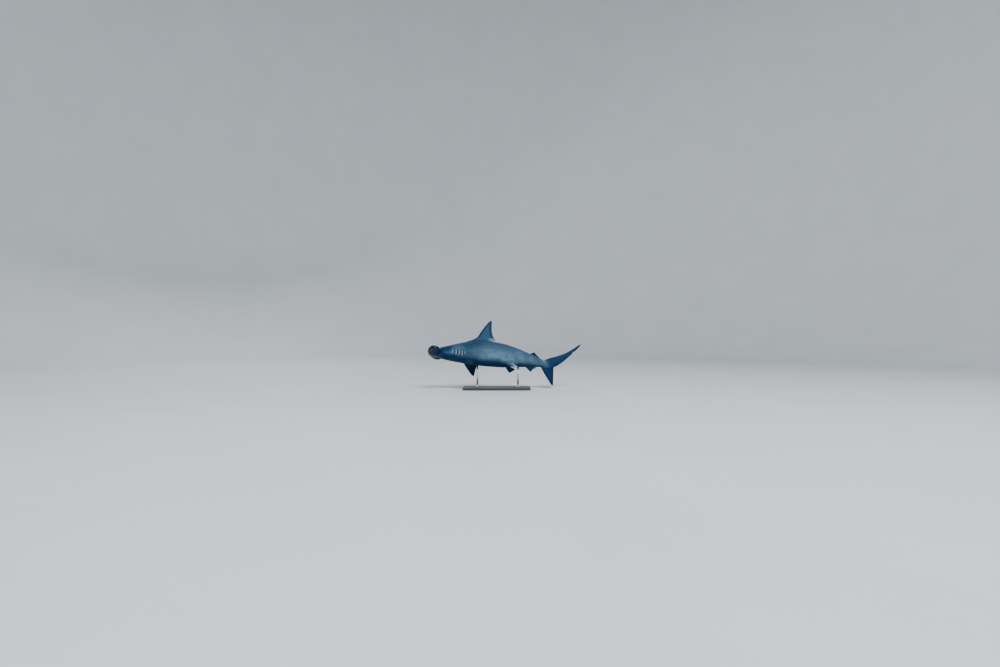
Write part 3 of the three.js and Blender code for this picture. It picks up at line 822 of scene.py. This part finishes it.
def fin_chord(fin, h):
    """Front and rear edge at a height h, in percent, and how much of them the round tip leaves."""
    root, (tip_a, tip_h), tip_wide, (rear_a, rear_h), sweep, hollow, _, _ = FINS[fin]
    h = np.maximum(0, h)
    up = ramp(h, 0, tip_h)
    fairing_long, fairing_high = FAIRING.get(fin, (0, 1))
    front = tip_a * up**sweep - fairing_long * ramp(h, fairing_high, 0) ** 2
    behind = tip_a + tip_wide
    low = root + (rear_a - root) * ramp(h, 0, max(rear_h, 1e-6)) ** 0.8
    high = behind + (rear_a - behind) * ramp(h, tip_h, rear_h) ** hollow
    back = np.where(h < rear_h, low, high)
    closing = np.sqrt(1 - ramp(up, TIP_ROUND, 1) ** 2)
    middle = front + (back - front) * 0.62
    return middle - (middle - front) * closing, middle + (back - middle) * closing, closing


def fin_levels(fin, count):
    """Heights of a fin's rows: close together at the root, the free corner and the rounded tip."""
    _, (_, tip_h), _, (_, rear_h), _, _, _, sink = FINS[fin]
    low = list(np.linspace(0, rear_h, 7)[:-1]) if rear_h else []
    high = rear_h + (tip_h - rear_h) * np.sin(np.linspace(0, 1, count) * math.pi / 2)
    return np.array([-sink, -sink * 0.5, *low, *high])


def fin_axes(frame_of_fin):
    """A fin's origin and its directions along, out and across."""
    origin, along_axis, out_axis = frame_of_fin
    flat_axis = np.cross(along_axis, out_axis)
    return origin, along_axis, out_axis, flat_axis / np.linalg.norm(flat_axis)


def fin_grid(fin, frame_of_fin, rows, around):
    levels = fin_levels(fin, rows)
    thick, tip_h = FINS[fin][6], FINS[fin][1][1]
    origin, along_axis, out_axis, flat_axis = fin_axes(frame_of_fin)

    def surface(up_share, around_share):
        h = np.interp(up_share, np.linspace(0, 1, len(levels)), levels)
        front, back, closing = fin_chord(fin, h)
        flare = 1 + 0.9 * np.exp(-np.maximum(0, h) / (0.09 * tip_h))
        narrow = np.minimum(1, (back - front) / 2)
        most = pc(thick) * (1 - 0.78 * ramp(h, 0, tip_h)) * flare * narrow
        turn = 2 * math.pi * around_share
        share = (1 - np.cos(turn)) / 2
        edge = EDGE_THICK * closing * np.minimum(1, np.sqrt(48 * share * (1 - share)))
        half = (most * blade_shape(share) + edge) / 2
        return (
            origin
            + np.outer(pc(front + (back - front) * share), along_axis)
            + np.outer(pc(h), out_axis)
            + np.outer(side_of(turn) * half, flat_axis)
        )

    made = wrapped(len(levels) - 1, around, surface, merge=1e-6)
    close_ends(made)
    return made


# %% Where the fins grow
PECTORAL_BELOW = math.radians(30)
PELVIC_BELOW = math.radians(52)


def unit(x, y, z):
    return np.array([x, y, z], float) / math.sqrt(x * x + y * y + z * z)


def on_side(at, z, side):
    s = {name: float(value) for name, value in body_section(np.array(at)).items()}
    power = s["belly_power"] if z < s["widest"] else s["back_power"]
    high = s["widest"] - s["belly"] if z < s["widest"] else s["back"] - s["widest"]
    share = min(1, abs(z - s["widest"]) / high)
    return np.array([pc(at), side * s["half"] * (1 - share**power) ** (1 / power), z])


def middle_frame(edge, at, dip, up):
    """Origin and directions of a fin on the back or the belly."""
    here, behind = (float(body_section(np.array(a))[edge]) for a in (at, at + 4.0))
    return np.array([pc(at), 0, here - up * pc(dip)]), unit(pc(4), 0, behind - here), unit(0, 0, up)


def side_frame(at, z, side, below, dip):
    out = unit(0, side * math.cos(below), -math.sin(below))
    return on_side(at, pc(z), side) - out * pc(dip), unit(1, 0, -0.02), out


FIN_PLACES = [  # name, frame, rows and points round a row
    ("first dorsal", middle_frame("back", 29.4, 0.35, 1), 46, 60),
    ("second dorsal", middle_frame("back", 63.9, 0.1, 1), 20, 44),
    ("anal", middle_frame("belly", 61.6, 0.1, -1), 22, 44),
    ("lower tail", (np.array([pc(71.6), 0, pc(-2.0)]), unit(8.3, 0, 0.9), unit(0, 0, -1)), 44, 52),
]
for side in (-1, 1):
    FIN_PLACES.append(("pectoral", side_frame(21.8, -3.2, side, PECTORAL_BELOW, 0.5), 44, 56))
    FIN_PLACES.append(("pelvic", side_frame(48.9, -4.6, side, PELVIC_BELOW, 0.3), 24, 44))

fins = bmesh.new()
for fin, frame_of_fin, rows, around in FIN_PLACES:
    grid = fin_grid(fin, frame_of_fin, rows, around)
    add_all(fins, [grid])
    print(fin, triangles(grid), "triangles, open edges:", len(rims(grid)))
    grid.free()

# %% [markdown]
# ## The eyes' sockets and the fins' roots
#
# Two Booleans finish the form: the balls cut the sockets, and the fins are joined to the body. A
# join leaves a hard line where the surfaces cross, so the faces there are made finer and the line
# is melted like the head's crease.

# %% Booleans


def boolean(bm, other, operation):
    base, tool = as_object(bm, "base"), as_object(other, "tool")
    step = base.modifiers.new("boolean", "BOOLEAN")
    step.object, step.operation, step.solver = tool, operation, "MANIFOLD"
    result = after_modifiers(base)
    for used in (base, tool):
        bpy.data.meshes.remove(used.data)
    return result


SOCKET_RADIUS = EYE_RADIUS + 0.3 * MM
sockets = bmesh.new()
for side in (-1, 1):
    made = bmesh.ops.create_uvsphere(sockets, u_segments=56, v_segments=36, radius=SOCKET_RADIUS)
    bmesh.ops.translate(sockets, verts=made["verts"], vec=on_eye_axis(side, EYE_SIDEWAYS))
body = boolean(body, sockets, "DIFFERENCE")
body_tree, fins_tree = tree(body), tree(fins)
skin = boolean(body, fins, "UNION")
print("skin:", triangles(skin), "triangles, open edges:", len(rims(skin)))

# %% Fin roots
ROOT_REACH = 15 * MM
ROOT_ROUNDS = 14

roots = crease_places(skin, body_tree, fins_tree, 0.05 * MM)
for longest in (9 * MM, 6 * MM):
    close = away_from(roots, positions(skin)) < ROOT_REACH
    skin.verts.index_update()
    long_edges = [
        e for e in skin.edges
        if close[e.verts[0].index] and close[e.verts[1].index] and e.calc_length() > longest
    ]
    bmesh.ops.subdivide_edges(skin, edges=long_edges, cuts=1, use_grid_fill=True)
    cut_large_faces(skin)
melt(skin, roots, ROOT_REACH, ROOT_ROUNDS)
print("skin:", triangles(skin), "triangles,", len(roots), "points at the roots")

# %% [markdown]
# ## Marks for the colours
#
# The material can't know where a fin's edge is, so each point of the skin gets a few numbers while
# the shark still lies straight: how far up the flank it is, where painted light falls on it, where
# painted shade lies on the underside, the head, the dark fins and the hollows, where it is pale or
# carries a painted highlight, and how close it is to a fin's dark margin.

# %% Places on the tail lobe and on a fin
LOBE_STEPS = 240


def lobe_place(p):
    """Share along the upper lobe, and height across it from -1 at the lower edge to 1."""
    t = np.linspace(0, 1, LOBE_STEPS)
    upper, lower = (on_lobe(t, np.full(LOBE_STEPS, side * math.pi / 2)) for side in (1, -1))
    line, reach = (upper + lower) / 2, np.maximum(np.linalg.norm(upper - lower, axis=1) / 2, MM)
    up = (upper - lower) / (2 * reach[:, None])
    away = (p[:, None, 0] - line[None, :, 0]) ** 2 + (p[:, None, 2] - line[None, :, 2]) ** 2
    nearest = np.argmin(away, axis=1)
    height = np.sum((p - line[nearest]) * up[nearest], axis=1) / reach[nearest]
    return t[nearest], height


def fin_place(p, frame_of_fin):
    """a, h and the distance across a fin, all in percent."""
    origin, *axes = fin_axes(frame_of_fin)
    return ((p - origin) @ np.linalg.inv(np.stack(axes)) * 100 / TOTAL_LENGTH).T


# %% [markdown]
# ### Marks of the fins
#
# A fin's edges and tip are darker than its middle, and its free corner may be pale. The pectorals,
# the small fins and the tail are dark all over, in their margin colour and the underside's painted
# shade. A pelvic fin has a painted highlight above, where it catches the light, and painted shade
# below. All lengths are percent of the shark's, scaled to the fin's height.

# %% Fin marks
FIN_LEVEL = 0.72  # a fin has the colour of the flank at this height
# margin colour over the whole fin; these fins also get the underside's painted shade
DARK_OVER = {"pectoral": 0.35, "lower tail": 0.25, "second dorsal": 0.5, "anal": 0.5}
PALE_CORNER = {"first dorsal": 0.62, "pelvic": 1.0, "second dorsal": 0.5}


def lift(marks, **values):
    """Raises marks to values where those are higher."""
    for name, value in values.items():
        marks[name] = np.maximum(marks[name], value)


def edge_and_corner(fin, a, h, front, rear):
    """How dark the edges and the tip are, and how pale the free corner is."""
    tip_h, corner_a = FINS[fin][1][1], FINS[fin][3][0]
    size = tip_h / 12
    rear_edge = smooth(rear - a, 1.7 * size, 0.8 * size)
    edge = np.maximum(rear_edge, smooth(a - front, 1.4 * size, 0.6 * size))
    if fin != "lower tail":
        edge = edge * smooth(h, 1.2 * size, 3.2 * size)
    corner = smooth(a, corner_a - 4.6 * size, corner_a - 3.2 * size)
    corner = corner * smooth(h, 1.5 * size + 0.3, 0.9 * size + 0.2)
    return np.maximum(edge, smooth(h / tip_h, 0.7, 0.97)), corner * PALE_CORNER.get(fin, 0)


def mark_fins(p, n, marks):
    off_body = smooth(distances(body_tree, p, 30 * MM), 0.5 * MM, 10 * MM)
    for fin, frame_of_fin, _, _ in FIN_PLACES:
        a, h, t = fin_place(p, frame_of_fin)
        front, rear, _ = fin_chord(fin, h)
        on = off_body * (np.abs(t) < 1.2) * (h > -1) * (h < FINS[fin][1][1] + 0.5)
        on = on * (a > front - 0.5) * (a < rear + 0.5)
        edge, corner = edge_and_corner(fin, a, h, front, rear)
        over = DARK_OVER.get(fin, 0)
        # painted shade over the fins that are dark all over
        dark = on * (over > 0)
        # a pelvic fin: painted highlight on its upper face, painted shade below
        if fin == "pelvic":
            dark = on * smooth(n[:, 2], 0.15, -0.15)
            lift(marks, pale=0.9 * on * smooth(n[:, 2], 0.0, 0.3) * smooth(rear - a, 3.2, 1.4))
        marks["back"] = marks["back"] * (1 - on) + FIN_LEVEL * on
        lift(marks, on_fin=on, margin=on * np.maximum(edge, over), pale=on * corner, under=dark)


# %% Marks of the upper tail lobe
LOBE_LEVEL = 0.85


def mark_lobe(place, p, marks):
    behind = place > STALK_END + 1
    on, edge, dark = np.zeros((3, len(p)))
    t, height = lobe_place(p[behind])
    on[behind] = smooth(t, 0.05, 0.3) * (height > -1.3)
    edge[behind] = np.maximum(smooth(np.abs(height), 0.72, 0.98), smooth(t, 0.8, 0.97))
    edge[behind] *= height < 1.3
    # painted shade over the lobe, deepest on its lower half
    dark[behind] = 0.65 + 0.35 * smooth(-height, -0.2, 0.6)
    marks["back"] = marks["back"] * (1 - on) + LOBE_LEVEL * on
    lift(marks, margin=on * edge, under=on * dark)


# %% [markdown]
# ### Marks of the head and the flank
#
# The hammer is dark all over with painted shade, and pores dot its underside. The painted shade
# runs out over the neck, with a lighter stripe between its two bands. Light falls on the flank from
# above, so it is brightest in a broad band of painted light, and a soft line below the band parts
# it from the underside in painted shade, with a darker patch of that shade on the shoulder. How
# high the line runs changes along the body. The back is lighter behind the first dorsal fin than
# before it, and a painted highlight crosses the stalk as a pale streak.

# %% Head marks
# bands of painted shade over the neck, and the lighter stripe between them
LOWER_BAND = (14.5, 9.5)  # where each has faded out and where it is full, in percent
UPPER_BAND = (16.0, 13.5)
STRIPE_LEVEL = 0.35
PORES_BEFORE = (13.0, 8.0)


def mark_head(place, p, n, blade, marks):
    back = marks["back"]
    middle_under = smooth(-n[:, 2], 0.2, 0.8) * smooth(np.abs(p[:, 1]), pc(8.5), pc(4))
    # painted shade over the hammer, weaker on its top faces and in the middle of its underside
    hammer = (1 - 0.3 * middle_under) * (1 - 0.45 * smooth(n[:, 2], 0.3, 0.9))
    neck = smooth(place, 8.5, 10.5) * (1 - blade)
    upper_band = smooth(place, *UPPER_BAND) * smooth(back, 0.42, 0.5) * smooth(back, 1.0, 0.85)
    head_shade = np.maximum(smooth(place, *LOWER_BAND) * hammer, 0.75 * neck * upper_band)
    marks["head_shade"] = head_shade * (1 - 0.75 * bell(back, STRIPE_LEVEL, 0.1) * neck)
    marks["pores"] = smooth(place, *PORES_BEFORE) * smooth(-n[:, 2], 0.1, 0.5)


# %% Flank marks
# the dark underside below this line is painted shade
UNDER_LINE = [  # percent of the length, and how far up the flank the dark underside reaches
    (5, 0.42), (10.5, 0.3), (13, 0.27), (16, 0.26), (20, 0.18), (27, 0.12), (33, 0.08), (39, 0.1),
    (44, 0.12), (49, 0.06), (53, -0.02), (56.5, 0.08), (60, 0.07), (76, 0.07),
]
BAND_ABOVE_LINE = 0.24
STREAK = (72.6, 2.2)  # the middle and the width of each, in percent
SHOULDER = (25.4, 3.4)
GILLS_LIT = (18.5, 4)


def mark_flank(place, marks):
    back, off_fins = marks["back"], 1 - marks["on_fin"]
    # painted highlight: a pale streak across the stalk
    streak = bell(place, *STREAK) * bell(back, 0.9 - 0.1 * (place - 71), 0.22)
    line = np.interp(place, *np.array(UNDER_LINE).T)
    on_flank = smooth(place, STALK_END + 2, STALK_END - 1) * off_fins
    # a darker patch of painted shade on the shoulder
    shoulder = 0.4 * bell(place, *SHOULDER) * smooth(back, 0.4, 0.6)
    # painted shade of the underside below the line
    shade = np.maximum(smooth(back, line + 0.13, line - 0.04), shoulder)
    lift(marks, pale=0.55 * off_fins * streak, under=on_flank * shade)
    band = smooth(place, 26, 40) * smooth(place, 80, 46)
    band = band * bell(back, line + BAND_ABOVE_LINE, 0.19 + 0.12 * smooth(place, 45, 60))
    at_gills = 0.4 * bell(place, *GILLS_LIT) * bell(back, 0.6, 0.3)
    marks["flank_light"] = np.maximum(band, at_gills) * on_flank
    marks["back"] = back * (1 - 0.42 * smooth(place, 30, 38) * on_flank)


# %% All marks


def skin_marks(p, n):
    place = 100 * p[:, 0] / TOTAL_LENGTH
    s = body_section(np.minimum(place, STALK_END))
    back = ramp(p[:, 2], s["belly"], s["back"]) * (1 - 0.2 * smooth(place, 46, 58))
    blade = smooth(np.abs(p[:, 1]), s["half"] * 0.6, s["half"] + 25 * MM) * smooth(place, 11.5, 9.5)
    marks = {name: np.zeros(len(p)) for name in ("margin", "pale", "under", "on_fin")}
    marks["back"] = back * (1 - blade) + (0.5 + 0.55 * n[:, 2]) * blade
    mark_fins(p, n, marks)
    mark_lobe(place, p, marks)
    mark_head(place, p, n, blade, marks)
    mark_flank(place, marks)
    marks["margin"] = marks["margin"] * (1 - marks["pale"])
    marks.pop("on_fin")
    return marks


skin.normal_update()
for name, values in skin_marks(positions(skin), normals(skin)).items():
    keep(skin, name, values)
    print(name, "on", round(100 * float(np.mean(values > 0.5))), "% of the points")

# %% [markdown]
# ## The pose
#
# The spine's heading turns smoothly between two places, so the tail swings to the shark's right.
# Then the whole shark banks, raises its nose a little, and is lifted over the stand.

# %% Pose
EYES = ((-1, "eye_left"), (1, "eye_right"))
BANK = math.radians(19.5)
NOSE_UP = math.radians(4)
TAIL_SWING = math.radians(22)
SWING = (pc(34), pc(80))
SPINE_END = pc(112)
SPINE_STEPS = 4000
LIFT = np.array([-1.029386, -0.002699, 0.547436])  # from the snout's place to the stand's middle


def bent(p):
    s = np.linspace(SWING[0], SPINE_END, SPINE_STEPS)
    heading = TAIL_SWING * smooth(s, *SWING)
    pace = np.diff(s, prepend=s[0])
    halfway = TAIL_SWING * smooth(s - pace / 2, *SWING)
    spine_x = SWING[0] + np.cumsum(np.cos(halfway) * pace)
    spine_y = np.cumsum(np.sin(halfway) * pace)
    along, across, up = p.T
    turn = np.interp(along, s, heading)
    x = np.where(along > SWING[0], np.interp(along, s, spine_x), along)
    y = np.where(along > SWING[0], np.interp(along, s, spine_y), 0)
    return x - np.sin(turn) * across, y + np.cos(turn) * across, up


def tilted(u, v, angle):
    return u * math.cos(angle) + v * math.sin(angle), -u * math.sin(angle) + v * math.cos(angle)


def posed(p):
    x, y, z = bent(np.asarray(p, float))
    y, z = tilted(y, z, BANK)
    x, z = tilted(x, z, NOSE_UP)
    return np.stack([x, y, z], axis=-1) + LIFT


for side, name in EYES:
    low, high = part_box(name)
    off = posed([on_eye_axis(side, EYE_SIDEWAYS)])[0] - np.array((low + high) / 2)
    print(name, "off the solid's by", np.round(off / MM, 2), "mm")

# %% [markdown]
# ## Finishing a piece
#
# Each piece ends with its object at the origin and its place in its mesh, rides on the model's one
# body, takes its material and hides the solids that it stands for.

# %% Finish a piece


def finish_piece(piece, look, slot, *nodes):
    piece.data.materials.append(look.material)
    piece.data.shade_smooth()
    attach(piece, "root")
    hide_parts(*nodes)
    count = sum(len(f.vertices) - 2 for f in piece.data.polygons)
    print(piece.name, "for", len(nodes), "solids,", count, "triangles")


# %% [markdown]
# ## Materials
#
# A look is a material together with short calls that add nodes to it: noise, the marks that the
# points keep, and colours mixed by a share that runs from 0 to 1.

# %% Looks


class Look:
    def __init__(self, name):
        self.material = bpy.data.materials.new(name)
        self.material.use_nodes = True
        self.tree = self.material.node_tree
        self.tree.nodes.clear()
        self.shader = self.tree.nodes.new("ShaderNodeBsdfPrincipled")
        output = self.tree.nodes.new("ShaderNodeOutputMaterial")
        self.tree.links.new(self.shader.outputs["BSDF"], output.inputs["Surface"])
        self.where = self.node("TexCoord", output="Object")

    def put(self, socket, value):
        """Links a value that is a socket, and sets any other."""
        if isinstance(value, bpy.types.NodeSocket):
            self.tree.links.new(value, socket)
        else:
            socket.default_value = value

    def shade(self, values):
        for name, value in values.items():
            self.put(self.shader.inputs[name], value)

    def node(self, kind, values=None, output=0, **settings):
        """Adds a node and returns its output socket."""
        made = self.tree.nodes.new("ShaderNode" + kind)
        for name, value in settings.items():
            setattr(made, name, value)
        for name, value in (values or {}).items():
            self.put(made.inputs[name], value)
        return made.outputs[output]

    def mark(self, name):
        return self.node("Attribute", output="Fac", attribute_name=name)

    def maths(self, operation, a, b):
        return self.node("Math", {0: a, 1: b}, operation=operation)

    def run(self, share, low, high, a=0.0, b=1.0):
        """Runs from a to b while share runs from low to high."""
        ends = {"From Min": low, "From Max": high, "To Min": a, "To Max": b}
        return self.node("MapRange", {"Value": share, **ends})

    def mixed(self, share, first, second):
        first, second = ((*c, 1) if isinstance(c, tuple) else c for c in (first, second))
        return self.node("Mix", {0: share, 6: first, 7: second}, output=2, data_type="RGBA")

    def noise(self, scale, detail=4.0, roughness=0.55, stretch=None):
        where = self.where
        if stretch:
            where = self.node("Mapping", {"Vector": where, "Scale": stretch})
        kind = {"Scale": scale, "Detail": detail, "Roughness": roughness}
        return self.node("TexNoise", {"Vector": where, **kind})

    def bump(self, strength, distance, height, **under):
        sizes = {"Strength": strength, "Distance": distance, "Height": height}
        return self.node("Bump", {**sizes, **under})


# %% [markdown]
# ## Skin
#
# Shark skin is matt to satin and covered with tiny scales, which give it a fine grain. Its colours
# are those of a shark seen under water, with the light and shade painted in: a slate blue back, a
# painted highlight where the flank catches the light, painted shade on the underside, the head and
# the dark fins, painted highlights on raised skin and painted shade in the slits. The tones lie
# over one another, each where its mark is strong, and noise of several sizes mottles them.

# %% Skin tones
FLANK = (0.036, 0.071, 0.112)
BACK = (0.016, 0.040, 0.069)
RIDGE = (0.008, 0.024, 0.046)
# painted shade of the underside, and of the dark fins
UNDERSIDE_SHADE = (0.004, 0.021, 0.060)
MARGIN = (0.001, 0.007, 0.018)
SUNLIT = (0.122, 0.206, 0.278)
# pale corners, and painted highlights on raised skin and lit places
PALE_AND_HIGHLIGHT = (0.25, 0.345, 0.42)
# painted shade of the head
HEAD_SHADE_TONE = (0.0003, 0.011, 0.040)
PORE = (0.0008, 0.0012, 0.002)
# painted shade in the slits, the nostrils and the mouth
HOLLOW_SHADE = (0.004, 0.004, 0.005)

# %% Skin look
skin_look = look = Look("shark skin")
cloudy, mottled = look.noise(3.2, 5.0), look.noise(26.0, 5.0, 0.6)
speckled = look.noise(240.0, 2.0, 0.5)
streaked = look.noise(8.0, 8.0, 0.62, (1.0, 1.5, 1.5))
fibres = look.noise(55.0, 3.0, 0.6, (0.5, 1.5, 1.5))
grid_of_pores = {"Vector": look.where, "Scale": 125.0, "Randomness": 0.9}
cells = look.node("TexVoronoi", grid_of_pores, "Distance")
up_flank = look.maths("ADD", look.mark("back"), look.run(cloudy, 0.3, 0.7, -0.06, 0.06))
up_flank = look.maths("ADD", up_flank, look.run(mottled, 0.3, 0.7, -0.035, 0.035))
light = look.maths("MULTIPLY", look.mark("flank_light"), look.run(streaked, 0.38, 0.64, 0.2, 0.9))
shaded_head = look.maths("MULTIPLY", look.mark("head_shade"), look.run(mottled, 0.3, 0.7, 1.0, 0.9))
pores = look.maths("MULTIPLY", look.mark("pores"), look.run(cells, 0.11, 0.2, 0.75, 0.0))
TONES = [
    (look.run(up_flank, 0.44, 0.76), BACK),
    (look.run(up_flank, 0.8, 1.0), RIDGE),
    (look.run(mottled, 0.42, 0.68, 0.0, 0.35), RIDGE),
    (light, SUNLIT),
    # painted shade on the underside and the dark fins
    (look.mark("under"), UNDERSIDE_SHADE),
    # painted highlight on raised skin: gill flaps, lips, lids
    (look.run(look.mark("raised"), 0.001, 0.0048, 0.0, 0.6), PALE_AND_HIGHLIGHT),
    # painted shade on the head
    (shaded_head, HEAD_SHADE_TONE),
    (look.run(look.mark("margin"), 0.0, 1.0, 0.0, 0.94), MARGIN),
    # pale corners and painted highlights
    (look.maths("MULTIPLY", look.mark("pale"), 0.75), PALE_AND_HIGHLIGHT),
    (look.run(speckled, 0.6, 0.75, 0.0, 0.3), FLANK),
    (look.run(fibres, 0.5, 0.75, 0.0, 0.4), RIDGE),
    (pores, PORE),
    # painted shade in the hollows
    (look.run(look.mark("depth"), 0.0025, 0.008, 0.0, 0.93), HOLLOW_SHADE),
]
colour = FLANK
for share, tone in TONES:
    colour = look.mixed(share, colour, tone)
grain, wrinkles = look.noise(900.0, 2.0), look.noise(60.0, 4.0, 0.6)
look.shade({
    "Base Color": colour,
    "Roughness": look.run(mottled, 0.3, 0.7, 0.4, 0.56),
    "Specular IOR Level": 0.13,
    "Specular Tint": (0.25, 0.65, 1.0, 1),
    "Normal": look.bump(0.22, 0.003, wrinkles, Normal=look.bump(0.16, 0.0006, grain)),
})
print("skin look:", len(TONES), "tones over the flank's")

# %% Skin piece
FLESH = [
    "head", "gills_and_shoulder", "torso", "hind_torso", "tail_stalk", "tail_fin_upper_lobe",
    "tail_fin_lower_lobe", "dorsal_fin_first", "dorsal_fin_second", "anal_fin", "pectoral_fin_left",
    "pectoral_fin_right", "pelvic_fin_left", "pelvic_fin_right",
]
move_to(skin, posed(positions(skin)))
finish_piece(as_object(skin, "shark_skin"), skin_look, "skin", *FLESH)

# %% [markdown]
# ## Eyes
#
# The eye is a large ball with a dark round pupil, a silvery bronze iris and a dark rim, under a
# clear wet surface. Each point keeps how far it is from the middle of the pupil, so that one
# material serves both eyes.

# %% Eyes
eye_look = look = Look("eye")
gaze = look.mark("gaze")
rays = look.run(look.noise(420.0, 3.0), 0.35, 0.65)
iris = look.mixed(rays, (0.035, 0.033, 0.024), (0.13, 0.125, 0.09))
iris = look.mixed(look.run(gaze, 0.5, 0.72), iris, (0.03, 0.027, 0.02))
iris = look.mixed(look.run(gaze, 0.3, 0.33), (0.002, 0.002, 0.003), iris)
look.shade({"Base Color": iris, "Roughness": 0.08, "Coat Weight": 1.0, "Coat Roughness": 0.03})

for side, name in EYES:
    ball = bmesh.new()
    bmesh.ops.create_uvsphere(ball, u_segments=48, v_segments=32, radius=EYE_RADIUS)
    places = positions(ball)
    keep(ball, "gaze", np.arccos(np.clip(side * places[:, 1] / EYE_RADIUS, -1, 1)) / math.pi * 2)
    move_to(ball, posed(places + np.array(on_eye_axis(side, EYE_SIDEWAYS))))
    finish_piece(as_object(ball, "shark_" + name), eye_look, "eye", name)

# %% [markdown]
# ## Stand
#
# The base is a low painted block with rounded corners and a small bevel. Two steel rods rise from
# it into the belly, each with a turned collar where it is screwed in.

# %% Paint and steel
paint_look = look = Look("satin paint")
worn = look.noise(9.0, 5.0)
rubbed = look.run(worn, 0.35, 0.7)
look.shade({
    "Base Color": look.mixed(rubbed, (0.020, 0.021, 0.023), (0.032, 0.033, 0.036)),
    "Roughness": look.run(worn, 0.3, 0.7, 0.36, 0.48),
    "Normal": look.bump(0.12, 0.0005, look.noise(420.0, 2.0)),
})

steel_look = look = Look("brushed steel")
brushed = look.noise(1.0, 3.0, stretch=(900.0, 900.0, 12.0))
look.shade({
    "Base Color": (0.55, 0.56, 0.58, 1),
    "Metallic": 1.0,
    "Roughness": look.run(brushed, 0.3, 0.7, 0.24, 0.38),
    "Normal": look.bump(0.08, 0.0004, brushed),
})

# %% Base
BASE_LONG, BASE_WIDE, BASE_THICK = 1.0, 0.43, 0.034
BASE_CORNER, BASE_BEVEL = 44 * MM, 4 * MM

base = bmesh.new()
bmesh.ops.create_cube(base, size=1)
bmesh.ops.scale(base, verts=base.verts, vec=(BASE_LONG, BASE_WIDE, BASE_THICK))
bmesh.ops.translate(base, verts=base.verts, vec=(0, 0, BASE_THICK / 2))


def rounded(edges, radius, segments):
    bmesh.ops.bevel(
        base, geom=list(edges), offset=radius, offset_type="OFFSET", segments=segments, profile=0.5,
        affect="EDGES", material=-1,
    )


upright = [e for e in base.edges if abs(e.verts[0].co.z - e.verts[1].co.z) > BASE_THICK / 2]
rounded(upright, BASE_CORNER, 16)
rounded({e for f in base.faces if abs(f.normal.z) > 0.9 for e in f.edges}, BASE_BEVEL, 4)
finish_piece(as_object(base, "stand_base_painted"), paint_look, "plinth", "stand_base")

# %% Rods
ROD_RADIUS, ROD_SIDES = 13 * MM, 64
RODS = (("stand_rod_front", 31.0), ("stand_rod_rear", 56.5))
COLLAR = [  # radius and height over the base, in mm
    (13.0, 15.0), (19.0, 14.0), (24.0, 8.5), (25.0, 7.0), (25.0, 0.4), (13.0, 0.4),
]
INTO_BELLY = 9 * MM

for name, at in RODS:
    foot = posed([(pc(at), 0, 0)])[0]
    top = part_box(name)[1].z + INTO_BELLY
    rod = bmesh.new()
    bmesh.ops.create_cone(
        rod, cap_ends=True, segments=ROD_SIDES, radius1=ROD_RADIUS, radius2=ROD_RADIUS,
        depth=top - BASE_THICK,
    )
    bmesh.ops.translate(rod, verts=rod.verts, vec=(0, 0, (top + BASE_THICK) / 2))
    turned(rod, [(r * MM, BASE_THICK + z * MM) for r, z in COLLAR], ROD_SIDES)
    bmesh.ops.translate(rod, verts=rod.verts, vec=(foot[0], foot[1], 0))
    bmesh.ops.recalc_face_normals(rod, faces=rod.faces)
    finish_piece(as_object(rod, name + "_steel"), steel_look, "rod", name)

# %% [markdown]
# ## Floor and light
#
# A pale round floor runs up into a wall all round in one soft curve, so that no edge shows from
# any side. A large light hangs high in front, so that the flank is lit and the underside falls
# into shade. A weaker one behind keeps the far side from going black.

# %% Floor
floor_look = look = Look("studio floor")
dusty = look.run(look.noise(0.8, 3.0), 0.3, 0.7)
look.shade({
    "Base Color": look.mixed(dusty, (0.54, 0.55, 0.56), (0.57, 0.58, 0.59)), "Roughness": 0.75,
})

FLOOR_RADIUS, CURVE, WALL_HIGH = 12.0, 5.0, 22.0
CURVE_STEPS = 24
floor = bmesh.new()
bends = [math.radians(90 * i / CURVE_STEPS) for i in range(CURVE_STEPS + 1)]
line = [(0, 0), *[(FLOOR_RADIUS + CURVE * math.sin(b), CURVE * (1 - math.cos(b))) for b in bends]]
line.append((FLOOR_RADIUS + CURVE, WALL_HIGH))
turned(floor, line, 144)
bmesh.ops.remove_doubles(floor, verts=floor.verts, dist=0.1 * MM)
floor.normal_update()
if sum(f.normal.z for f in floor.faces) < 0:
    bmesh.ops.reverse_faces(floor, faces=floor.faces)
floor_piece = as_object(floor, "studio_floor")
floor_piece.data.materials.append(floor_look.material)
floor_piece.data.shade_smooth()

# %% Lights
LIGHT_SIZE = 8.0
LIGHT_COLOUR = (0.88, 0.95, 1.0)
SHARK_MIDDLE = (0, 0, 0.5)


def soft_light(name, place, power):
    """A large square light that points at the shark's middle."""
    data = bpy.data.lights.new(name, "AREA")
    data.size, data.energy, data.color = LIGHT_SIZE, power, LIGHT_COLOUR
    light = bpy.data.objects.new(name, data)
    light.location = place
    toward = np.array(SHARK_MIDDLE, float) - np.array(place, float)
    light.rotation_euler = (
        math.atan2(math.hypot(toward[0], toward[1]), -toward[2]),
        0,
        math.atan2(toward[1], toward[0]) - math.pi / 2,
    )
    scene.collection.objects.link(light)


soft_light("key", (3.6, -10.5, 13.8), 4600)
soft_light("fill", (-8.0, 9.0, 9.0), 900)

world = bpy.data.worlds.new("studio")
world.use_nodes = True
sky = world.node_tree.nodes["Background"].inputs
sky["Color"].default_value = (0.80, 0.88, 0.95, 1)
sky["Strength"].default_value = 0.16
scene.world = world
